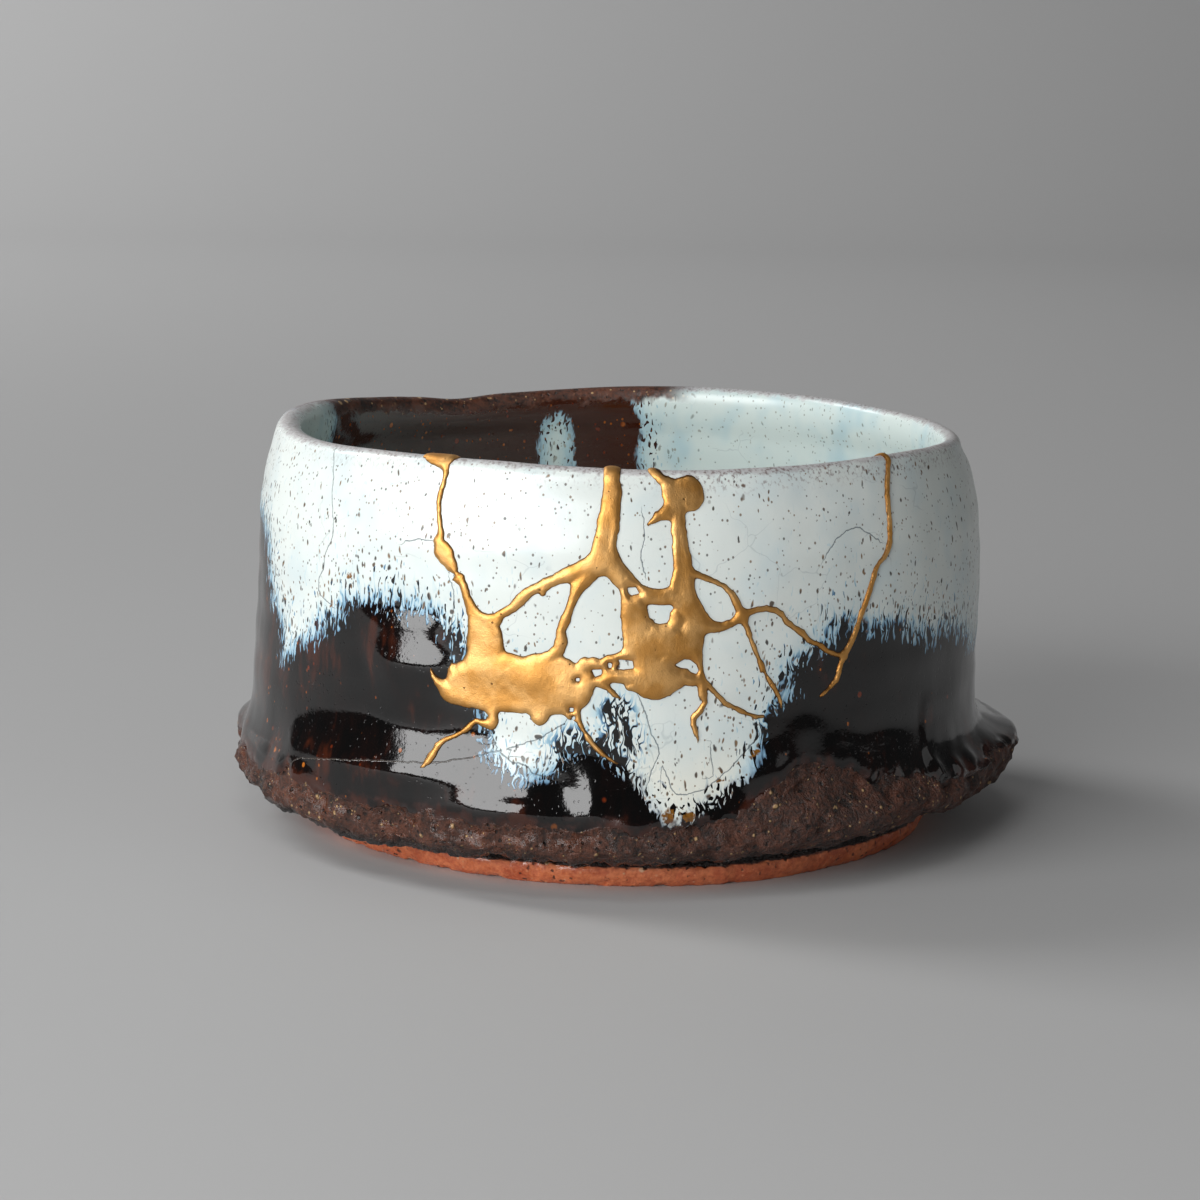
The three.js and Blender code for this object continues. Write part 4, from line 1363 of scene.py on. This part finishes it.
# %% Pale glaze over black
def make_streaked_glaze():
    """A group node: the pale glaze running out over the black one."""
    inputs = {
        "At": "Vector", "Depth": "Float", "Marbling": "Float", "Cream": "Float",
        "Fleck share": "Float", "Cloudiness": "Float", "Calm": "Float",
    }
    outputs = {"Colour": "Color", "Pale": "Float", "Height": "Float"}
    tree, w, given = group("streaked_glaze", inputs, outputs)
    at, depth, marbling = given["At"], given["Depth"], given["Marbling"]
    swirl = w.noise(at, 4.0, 6.2, detail=1.0).outputs[1]
    fine_swirl = w.noise(at, 1.1, 1.7, detail=0.0).outputs[1]
    run = w.push(at, swirl, w.add(2.0, w.times(marbling, 3.6)))
    run = w.push(run, fine_swirl, w.add(0.7, w.times(marbling, 0.7)))
    tongues = w.cloud(run, 2.1, 6.5, detail=1.0)
    hairs = w.noise(run, 0.55, 4.2, detail=1.0).outputs[0]
    strokes = w.noise(run, 0.46, 1.9, detail=0.0).outputs[0]
    edge = w.add(depth, w.times(tongues, w.scale(0.9, 0.4, given["Calm"])))
    edge = w.add(edge, w.times(w.add(hairs, -0.5), w.scale(12.0, 2.2, given["Calm"])))
    near = w.ease(10.0, 1.0, depth)
    thickness = w.add(w.times(near, 0.10), w.times(marbling, 0.10))
    limit = w.add(0.735, w.times(thickness, -1.0))
    cut = w.ease(limit, w.add(limit, 0.055), strokes)
    veins = w.noise(run, 0.95, 6.4, detail=1.0).outputs[0]
    veins = w.ease(0.095, 0.03, w.maths("ABSOLUTE", w.add(veins, -0.5)))
    bands = w.noise(run, 2.1, 9.5, detail=1.0).outputs[0]
    bands = w.ease(0.05, 0.015, w.maths("ABSOLUTE", w.add(bands, -0.47)))
    folds = w.times(w.most(w.times(veins, 0.95), bands), w.times(marbling, 7.5))
    folds = w.add(folds, w.times(marbling, 1.3))
    cut = w.times(cut, w.scale(1.0, 0.7, given["Calm"]))
    folds = w.most(folds, w.times(cut, w.scale(3.2, 7.0, near)))
    plateau = w.add(4.6, w.times(depth, 0.12))
    edge = w.add(w.maths("MINIMUM", edge, plateau), w.times(folds, -1.0))
    edge = w.scale(0.0, 1.0, w.times(w.add(edge, 2.0), 0.125))
    colour = w.ramp(edge, [
        (0.0, paint(8, 7, 9)),
        (0.24, paint(10, 11, 16)),
        (0.30, paint(22, 44, 74)),
        (0.38, paint(72, 118, 156)),
        (0.47, paint(150, 190, 210)),
        (0.58, paint(204, 224, 228)),
        (0.78, paint(224, 233, 230)),
        (1.0, paint(229, 236, 232)),
    ])
    pale = w.ease(0.26, 0.40, edge)
    wash = w.times(w.times(w.ease(4.5, 0.0, depth), pale), 0.5)
    colour = w.mix(wash, colour, paint(150, 192, 216))
    soft = w.noise(at, 9.0, 11.0, detail=2.0).outputs[0]
    soft = w.times(w.ease(0.42, 0.75, soft), given["Cloudiness"])
    colour = w.mix(w.times(soft, pale), colour, paint(178, 208, 220))
    colour = w.mix(w.times(given["Cream"], w.times(pale, 0.6)), colour, paint(240, 236, 220))
    close = w.scale(0.22, 1.0, w.ease(16.0, 1.0, depth))
    large_flecks = w.spots(run, 0.85, 1.9, 0.42, w.times(close, given["Fleck share"]))
    small_flecks = w.spots(at, 0.9, 1.1, 0.29, w.add(0.6, w.times(close, 0.35)))
    pinholes = w.spots(at, 3.4, 3.4, 0.10, 0.5)
    tint = w.noise(at, 2.2, detail=1.0).outputs[0]
    fleck_colour = w.ramp(tint, [
        (0.40, paint(34, 24, 20)),
        (0.50, paint(84, 56, 28)),
        (0.60, paint(128, 90, 40)),
        (0.68, paint(58, 50, 34)),
    ])
    colour = w.mix(w.times(large_flecks, w.times(pale, 0.92)), colour, fleck_colour)
    colour = w.mix(w.times(small_flecks, w.times(pale, 0.8)), colour, fleck_colour)
    colour = w.mix(w.times(pinholes, w.times(pale, 0.85)), colour, paint(34, 26, 26))
    height = w.times(w.cloud(at, 7.0, 9.0, detail=1.0), 0.035)
    height = w.add(height, w.times(w.cloud(at, 0.7, detail=2.0), 0.0035))
    height = w.add(height, w.times(pinholes, -0.06))
    height = w.add(height, w.times(small_flecks, -0.015))
    height = w.add(height, w.times(pale, 0.02))
    w.node("NodeGroupOutput", {"Colour": colour, "Pale": pale, "Height": height})
    return tree


streaked_glaze = make_streaked_glaze()

# %% [markdown]
# The black glaze is nearly opaque. Where it is thin it shows red and brown from the iron in
# the clay, in clouds and in small sparks of amber.

# %% Black glaze
def make_black_glaze():
    """A group node: black glaze with brown clouds and amber sparks."""
    inputs = {"At": "Vector", "Thinness": "Float", "Sparks": "Float"}
    tree, w, given = group("black_glaze", inputs, {"Colour": "Color", "Roughness": "Float"})
    at = given["At"]
    haze = w.noise(at, 6.5, 11.0, detail=3.0).outputs[0]
    streak = w.noise(at, 1.6, 9.0, detail=2.0).outputs[0]
    thin = w.add(w.add(haze, w.times(streak, 0.45)), w.times(given["Thinness"], 0.28))
    colour = w.ramp(thin, [
        (0.70, paint(6, 5, 5)),
        (0.86, paint(15, 7, 6)),
        (1.0, paint(58, 24, 11)),
    ])
    small = w.spots(at, 1.3, 1.7, 0.26, w.times(given["Sparks"], w.ease(0.72, 0.95, thin)))
    large = w.spots(at, 4.2, 4.8, 0.16, w.times(given["Sparks"], 0.9))
    warm = w.noise(at, 3.0, detail=1.0).outputs[0]
    amber = w.ramp(warm, [(0.4, paint(116, 44, 16)), (0.62, paint(190, 110, 38))])
    colour = w.mix(w.times(small, 0.6), colour, amber)
    colour = w.mix(w.times(large, 0.85), colour, amber)
    rough = w.scale(0.035, 0.11, w.noise(at, 5.0, detail=3.0).outputs[0])
    w.node("NodeGroupOutput", {"Colour": colour, "Roughness": rough})
    return tree


black_glaze = make_black_glaze()

# %% [markdown]
# The ledge is a coarse clay full of quartz and iron grains. It was left rough, and spilt
# glaze makes it glassy in places. The foot is the same clay without any glaze, fired orange.
# Grains are scattered spots in several sizes, each also a bump.

# %% Bare clay
def make_rough_clay():
    """A group node: clay with grit, stones, pits and glassy patches."""
    inputs = {
        "At": "Vector", "Grain": "Float", "Dark": "Color", "Light": "Color",
        "Grit": "Color", "Grit share": "Float", "Wetness": "Float",
    }
    outputs = {"Colour": "Color", "Roughness": "Float", "Height": "Float"}
    tree, w, given = group("rough_clay", inputs, outputs)
    at = given["At"]
    patch = w.noise(at, 5.5, detail=4.0, rough=0.65).outputs[0]
    crumb = w.noise(at, 0.8, detail=4.0, rough=0.7).outputs[0]
    tone = w.ease(0.34, 0.68, w.blend(0.55, patch, crumb))
    colour = w.mix(tone, given["Dark"], given["Light"])
    grains = w.spots(at, 0.9, 0.9, 0.36, given["Grit share"])
    stones = w.spots(at, 2.6, 2.6, 0.24, w.times(given["Grit share"], 1.3))
    pits = w.spots(w.push(at, w.noise(at, 1.1).outputs[1], 1.4), 1.5, 1.5, 0.36, 0.55)
    shade = w.noise(at, 1.9, detail=1.0).outputs[0]
    grit = w.mix(w.ease(0.42, 0.6, shade), given["Light"], given["Grit"])
    colour = w.mix(w.times(grains, 0.75), colour, grit)
    colour = w.mix(w.times(stones, 0.85), colour, given["Grit"])
    colour = w.mix(w.times(pits, 0.8), colour, paint(16, 11, 9))
    wet = w.ease(0.44, 0.56, w.noise(at, 2.4, detail=3.0).outputs[0])
    wet = w.times(wet, given["Wetness"])
    rough = w.blend(wet, w.scale(0.55, 0.95, crumb), 0.12)
    height = w.times(w.add(w.add(crumb, w.times(patch, 1.3)), -1.1), given["Grain"])
    height = w.add(height, w.times(w.times(grains, given["Grain"]), 0.28))
    height = w.add(height, w.times(w.times(stones, given["Grain"]), 0.5))
    height = w.add(height, w.times(w.times(pits, given["Grain"]), -0.8))
    height = w.times(height, w.rest(w.times(wet, 0.75)))
    w.node("NodeGroupOutput", {"Colour": colour, "Roughness": rough, "Height": height})
    return tree


rough_clay = make_rough_clay()

# %% [markdown]
# A finish uses those groups, reads the measures on the mesh and ends in a shader. These few
# functions do that for the ceramic and for the gold.

# %% Groups, measures and shaders
def use(wiring, tree, feeds):
    """A group node in a material, with its values."""
    made = wiring.tree.nodes.new("ShaderNodeGroup")
    made.node_tree = tree
    for name, value in feeds.items():
        if isinstance(value, bpy.types.NodeSocket):
            wiring.tree.links.new(value, made.inputs[name])
        else:
            made.inputs[name].default_value = value
    return made.outputs


def in_millimetres(wiring):
    """Places on the piece in mm."""
    place = wiring.node("ShaderNodeTexCoord", {}).outputs["Object"]
    feeds = {0: place, "Scale": 1 / MM}
    return wiring.node("ShaderNodeVectorMath", feeds, operation="SCALE").outputs[0]


def measure(wiring, name):
    """A measure that was written on the mesh."""
    return wiring.node("ShaderNodeAttribute", {}, attribute_name=name).outputs["Fac"]


def new_material(name):
    """A material with its wiring and its shader."""
    material = bpy.data.materials.new(name)
    material.use_nodes = True
    return material, Wiring(material.node_tree), material.node_tree.nodes["Principled BSDF"]


def connect(wiring, shader, colour, rough, height):
    """Feeds a shader with a colour, a roughness and a height in mm."""
    feeds = {"Height": height, "Strength": 1.0, "Distance": MM}
    bump = wiring.node("ShaderNodeBump", feeds)
    wiring.tree.links.new(colour, shader.inputs["Base Color"])
    wiring.tree.links.new(rough, shader.inputs["Roughness"])
    wiring.tree.links.new(bump.outputs[0], shader.inputs["Normal"])

# %% [markdown]
# Each layer of the ceramic is a function that lays itself over the colour and the roughness so
# far. First come the two glazes, with stains of iron where they pooled.

# %% The glazed wall
PALE_ROUGHNESS = 0.27


def lay_glazes(w, at, fleck_share):
    """Colour, roughness and height in mm of the two glazes, and the share of pale glaze."""
    inner = measure(w, "inner_face")
    warm = measure(w, "left_warmth")
    thin_edge = w.times(w.ease(3.0, 0.3, measure(w, "above_clay")), 0.6)
    thinness = w.add(w.times(warm, 0.5), w.times(inner, 1.7))
    black = use(w, black_glaze, {
        "At": at,
        "Thinness": w.add(thinness, thin_edge),
        "Sparks": w.add(0.3, w.add(w.times(warm, 0.5), w.times(inner, 1.0))),
    })
    streaks = use(w, streaked_glaze, {
        "At": at,
        "Depth": measure(w, "pale_depth"),
        "Marbling": measure(w, "marbled"),
        "Cream": measure(w, "cream"),
        "Fleck share": fleck_share,
        "Cloudiness": w.add(0.3, w.times(inner, 0.7)),
        "Calm": measure(w, "calm"),
    })
    pale = streaks["Pale"]
    colour = w.mix(w.ease(0.0, 0.5, pale), black["Colour"], streaks["Colour"])
    colour = w.mix(w.times(w.times(inner, pale), 0.45), colour, paint(196, 216, 212))
    amber = w.mix(w.noise(at, 0.9, detail=3.0).outputs[0], paint(38, 20, 8), paint(168, 112, 40))
    blot = w.add(measure(w, "amber_stain"), w.times(w.cloud(at, 0.8, detail=2.0), 0.35))
    colour = w.mix(w.ease(0.45, 0.75, blot), colour, amber)
    return colour, w.blend(pale, black["Roughness"], PALE_ROUGHNESS), streaks["Height"], pale


def lay_cracks(w, at, pale, colour):
    """The colour with its long hairlines and a net of fine crazing, and how cracked it is."""
    crack = w.add(measure(w, "hairline"), w.times(w.cloud(at, 1.2, detail=2.0), 0.16))
    crack = w.times(w.ease(0.15, 0.03, w.maths("ABSOLUTE", crack)), measure(w, "hairline_near"))
    crack_colour = w.mix(pale, paint(96, 84, 72), paint(66, 84, 96))
    colour = w.mix(w.times(crack, w.blend(pale, 0.3, 0.75)), colour, crack_colour)
    net_at = w.push(at, w.noise(at, 5.0, detail=2.0).outputs[1], 5.0)
    feeds = {"Vector": w.stretch(net_at, 11.0, 11.0), "Scale": 1.0}
    net = w.node("ShaderNodeTexVoronoi", feeds, feature="DISTANCE_TO_EDGE").outputs[0]
    net = w.times(w.ease(0.012, 0.003, net), w.ease(0.5, 0.62, w.noise(at, 14.0).outputs[0]))
    return w.mix(w.times(net, w.times(pale, 0.2)), colour, paint(110, 130, 138)), crack

# %% [markdown]
# The lip has lost its gloss where it was drunk from, and below it lies a freckled band where
# the glaze ran thin. Under the glaze comes the clay. It shows on the ledge, on the bare part
# of the lip and on the foot, and the groove over the foot is full of glassy dark glaze.

# %% Lip and clay
def wear_lip(w, at, below_lip, colour, rough):
    """The worn lip over a colour and a roughness, and its relief in mm."""
    worn = w.add(below_lip, w.times(w.cloud(at, 1.6, detail=3.0), 0.45))
    worn = w.ease(0.9, 0.1, worn)
    freckle = w.cloud(at, 0.55, 0.8, detail=3.0)
    lip_colour = w.mix(w.ease(-0.3, 0.8, freckle), paint(188, 182, 184), paint(112, 88, 88))
    colour = w.mix(w.times(worn, 0.75), colour, lip_colour)
    band = w.ease(4.2, 1.2, below_lip)
    band = w.times(band, w.times(measure(w, "lip_band"), w.ease(0.05, 0.75, freckle)))
    colour = w.mix(w.times(band, 0.75), colour, paint(122, 100, 98))
    return colour, w.blend(worn, rough, 0.42), w.times(w.times(worn, freckle), 0.015)


def lay_clay(w, at, below_lip, colour, rough, height):
    """Ledge, bare lip, groove and foot over a colour, a roughness and a height in mm."""
    foot = w.add(measure(w, "foot_depth"), w.times(w.cloud(at, 2.4, 1.0, detail=2.0), 0.3))
    foot = w.ease(-0.1, 0.25, foot)
    on_lip = w.ease(12.0, 6.0, below_lip)
    clay_look = use(w, rough_clay, {
        "At": at,
        "Grain": w.blend(foot, w.blend(on_lip, 1.2, 0.14), 0.2),
        "Dark": w.mix(foot, paint(18, 8, 5), paint(182, 82, 48)),
        "Light": w.mix(foot, paint(104, 58, 38), paint(236, 140, 92)),
        "Grit": w.mix(foot, paint(204, 166, 116), paint(232, 184, 146)),
        "Grit share": w.blend(foot, 0.5, 0.22),
        "Wetness": w.most(measure(w, "wet_clay"), w.times(on_lip, 0.5)),
    })
    bare = w.add(below_lip, w.times(w.cloud(at, 2.6, 3.5, detail=2.0), 1.1))
    bare = w.times(w.ease(3.4, 1.6, bare), measure(w, "bare_lip"))
    edge = w.times(w.cloud(at, 2.8, 2.2, detail=3.0), 1.15)
    edge = w.add(measure(w, "above_clay"), edge)
    film = w.times(w.ease(2.6, 0.6, edge), w.ease(-0.2, 0.8, w.cloud(at, 1.7, detail=2.0)))
    colour = w.mix(w.times(film, 0.75), colour, paint(62, 36, 31))
    rough = w.blend(w.times(film, 0.8), rough, 0.3)
    clay = w.most(w.most(w.ease(0.35, -0.15, edge), bare), foot)
    glassy = w.times(measure(w, "groove"), w.rest(foot))
    colour = w.mix(clay, colour, clay_look["Colour"])
    rough = w.blend(clay, rough, clay_look["Roughness"])
    colour = w.mix(glassy, colour, paint(20, 11, 9))
    rough = w.blend(glassy, rough, 0.14)
    return colour, rough, w.blend(clay, height, clay_look["Height"])

# %% [markdown]
# The whole ceramic is those layers in order. The bowl and the sherds each get one, and on the
# sherds, which sit in the middle of the pale glaze, fewer flecks are kept.

# %% Ceramic finish
GLAZE_IOR = 1.6
CRACK_DEPTH = -0.05


def make_ceramic(name, fleck_share):
    """Glaze over clay, with a share of the flecks near the edge of the pale glaze kept."""
    material, w, shader = new_material(name)
    at = in_millimetres(w)
    below_lip = measure(w, "below_lip")
    colour, rough, height, pale = lay_glazes(w, at, fleck_share)
    colour, crack = lay_cracks(w, at, pale, colour)
    colour, rough, lip_relief = wear_lip(w, at, below_lip, colour, rough)
    colour, rough, height = lay_clay(w, at, below_lip, colour, rough, height)
    height = w.add(w.add(height, lip_relief), w.times(crack, CRACK_DEPTH))
    connect(w, shader, colour, rough, height)
    shader.inputs["IOR"].default_value = GLAZE_IOR
    return material


bowl_glaze = make_ceramic("bowl_glaze_finish", 0.9)
sherd_glaze = make_ceramic("sherd_glaze_finish", 0.6)

# %% [markdown]
# Gold powder was dusted on wet lacquer and burnished, so it shines softly and keeps the
# brush marks of the lacquer. The edge, where the lacquer is thin, stays darker. Metal colour
# varies in clouds, and grains and marks are bumps.

# %% Gold finish
def make_gold():
    """Burnished gold powder on lacquer."""
    material, w, shader = new_material("gold_lacquer_finish")
    at = in_millimetres(w)
    powder = w.cloud(at, 0.22, detail=2.0)
    marks = w.cloud(w.push(at, w.noise(at, 6.0).outputs[1], 6.0), 0.7, 4.0, detail=3.0)
    cloud = w.noise(at, 4.5, detail=3.0).outputs[0]
    colour = w.mix(w.ease(0.36, 0.66, cloud), paint(212, 154, 82), paint(236, 184, 116))
    colour = w.mix(w.times(w.ease(0.2, 1.0, powder), 0.35), colour, paint(182, 128, 74))
    edge = w.add(measure(w, "from_edge"), w.times(w.cloud(at, 0.8, detail=2.0), 0.05))
    colour = w.mix(w.times(w.ease(0.22, 0.03, edge), 0.8), colour, paint(92, 52, 24))
    pits = w.spots(at, 1.9, 1.9, 0.13, 0.5)
    colour = w.mix(w.times(pits, 0.7), colour, paint(84, 50, 26))
    rough = w.scale(0.40, 0.55, w.noise(at, 1.4, detail=3.0).outputs[0])
    height = w.times(powder, 0.010)
    height = w.add(height, w.times(marks, 0.010))
    height = w.add(height, w.times(pits, -0.08))
    connect(w, shader, colour, rough, height)
    shader.inputs["Metallic"].default_value = 1.0
    return material


gold_lacquer = make_gold()
print("finishes:", bowl_glaze.name, sherd_glaze.name, gold_lacquer.name)

# %% [markdown]
# The bowl is shown as a small vessel is in a studio: on a wide pale floor that sweeps up
# behind it, in a dark room, so that the black glaze has something dark to reflect.

# %% Floor and background
def sweep(width, front, back, bend, top):
    """A floor that curves up into a wall behind the bowl."""
    steps = 24
    side = [(front, 0.0)]
    for step in range(steps + 1):
        turn = math.pi / 2 * step / steps
        side.append((back - bend + bend * math.sin(turn), bend - bend * math.cos(turn)))
    side.append((back, top))
    vertices = [(x, y, z) for y, z in side for x in (-width / 2, width / 2)]
    faces = [(2 * k, 2 * k + 1, 2 * k + 3, 2 * k + 2) for k in range(len(side) - 1)]
    return vertices, faces


def plain_grey(name, value, rough):
    """A matt grey for the stage."""
    material, _, shader = new_material(name)
    shader.inputs["Base Color"].default_value = (value, value, value, 1)
    shader.inputs["Roughness"].default_value = rough
    return material


floor_vertices, floor_faces = sweep(width=9.0, front=-5.0, back=2.6, bend=0.9, top=3.0)
floor_mesh = bpy.data.meshes.new("floor")
floor_mesh.from_pydata(floor_vertices, [], floor_faces)
floor_mesh.shade_smooth()
floor = bpy.data.objects.new("floor", floor_mesh)
bpy.context.scene.collection.objects.link(floor)
floor.data.materials.append(plain_grey("floor_grey", 0.5, 0.75))

# %% [markdown]
# One large soft box stands at the front left, low, and gives the long highlights on the wall.
# A small one above brings out the lip and the inside. A dim card at the right keeps the
# shaded side from going quite black, and the fourth light brightens the wall behind. Their
# strength is given as radiance, so that a box can change size and stay as bright.

# %% Lights
def soft_box(name, place, target, width, height, radiance):
    """A rectangular light in metres that faces a target."""
    light = bpy.data.lights.new(name, "AREA")
    light.shape = "RECTANGLE"
    light.size = width
    light.size_y = height
    light.energy = radiance * math.pi * width * height
    box = bpy.data.objects.new(name, light)
    box.location = place
    facing = Vector(target) - Vector(place)
    box.rotation_euler = facing.to_track_quat("-Z", "Y").to_euler()
    box.visible_camera = False
    bpy.context.scene.collection.objects.link(box)


BOWL_MIDDLE = (0.0, 0.0, 0.035)
soft_box("key_box", (-0.58, -0.69, 0.33), BOWL_MIDDLE, 0.9, 0.52, 6.3)
soft_box("top_box", (-0.06, -0.43, 0.93), BOWL_MIDDLE, 0.4, 0.3, 2.4)
soft_box("right_card", (1.3, -0.35, 0.5), BOWL_MIDDLE, 1.2, 0.7, 0.4)
soft_box("back_wash", (-1.7, 0.9, 1.6), (-0.5, 2.5, 0.6), 1.6, 1.0, 9.0)

world = bpy.data.worlds.new("dark_room")
world.use_nodes = True
world.node_tree.nodes["Background"].inputs["Color"].default_value = (0.97, 0.98, 1.0, 1)
world.node_tree.nodes["Background"].inputs["Strength"].default_value = 0.05
bpy.context.scene.world = world
bpy.context.scene.view_settings.view_transform = "Standard"

# %% [markdown]
# The camera stands half a metre away, a little above the lip, and looks down at the front of
# the bowl by ten degrees, with the slightest roll.

# %% Camera
CAMERA_PLACE = (-0.00479, -0.5288, 0.13404)
LOOK_DOWN = math.radians(10.27)
ROLL = math.radians(1.125)
camera_data = bpy.data.cameras.new("camera")
camera_data.lens = 88.26
camera_data.sensor_width = 36
camera = bpy.data.objects.new("camera", camera_data)
forward = Vector((0, math.cos(LOOK_DOWN), -math.sin(LOOK_DOWN)))
level_up = Vector((0, math.sin(LOOK_DOWN), math.cos(LOOK_DOWN)))
level_right = Vector((1, 0, 0))
camera_x = level_right * math.cos(ROLL) + level_up * math.sin(ROLL)
camera_y = level_up * math.cos(ROLL) - level_right * math.sin(ROLL)
turn = Matrix((camera_x, camera_y, -forward)).transposed()
camera.matrix_world = Matrix.Translation(CAMERA_PLACE) @ turn.to_4x4()
bpy.context.scene.collection.objects.link(camera)
bpy.context.scene.camera = camera

# %% [markdown]
# Each dressed piece moves with the bowl and takes the place of its own solid of the imported
# part, which is hidden. The dressed bowl has to be the size of the imported one. The bowl and
# the sherds get their glaze finishes, and the gold its own.

# %% Hand over
for node, piece in ceramic.items():
    sherd = node != "bowl_body"
    piece.data.materials.append(sherd_glaze if sherd else bowl_glaze)
    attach(piece, "root")
    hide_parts(node)
gold.data.materials.append(gold_lacquer)
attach(gold, "root")
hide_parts("gold_seams")
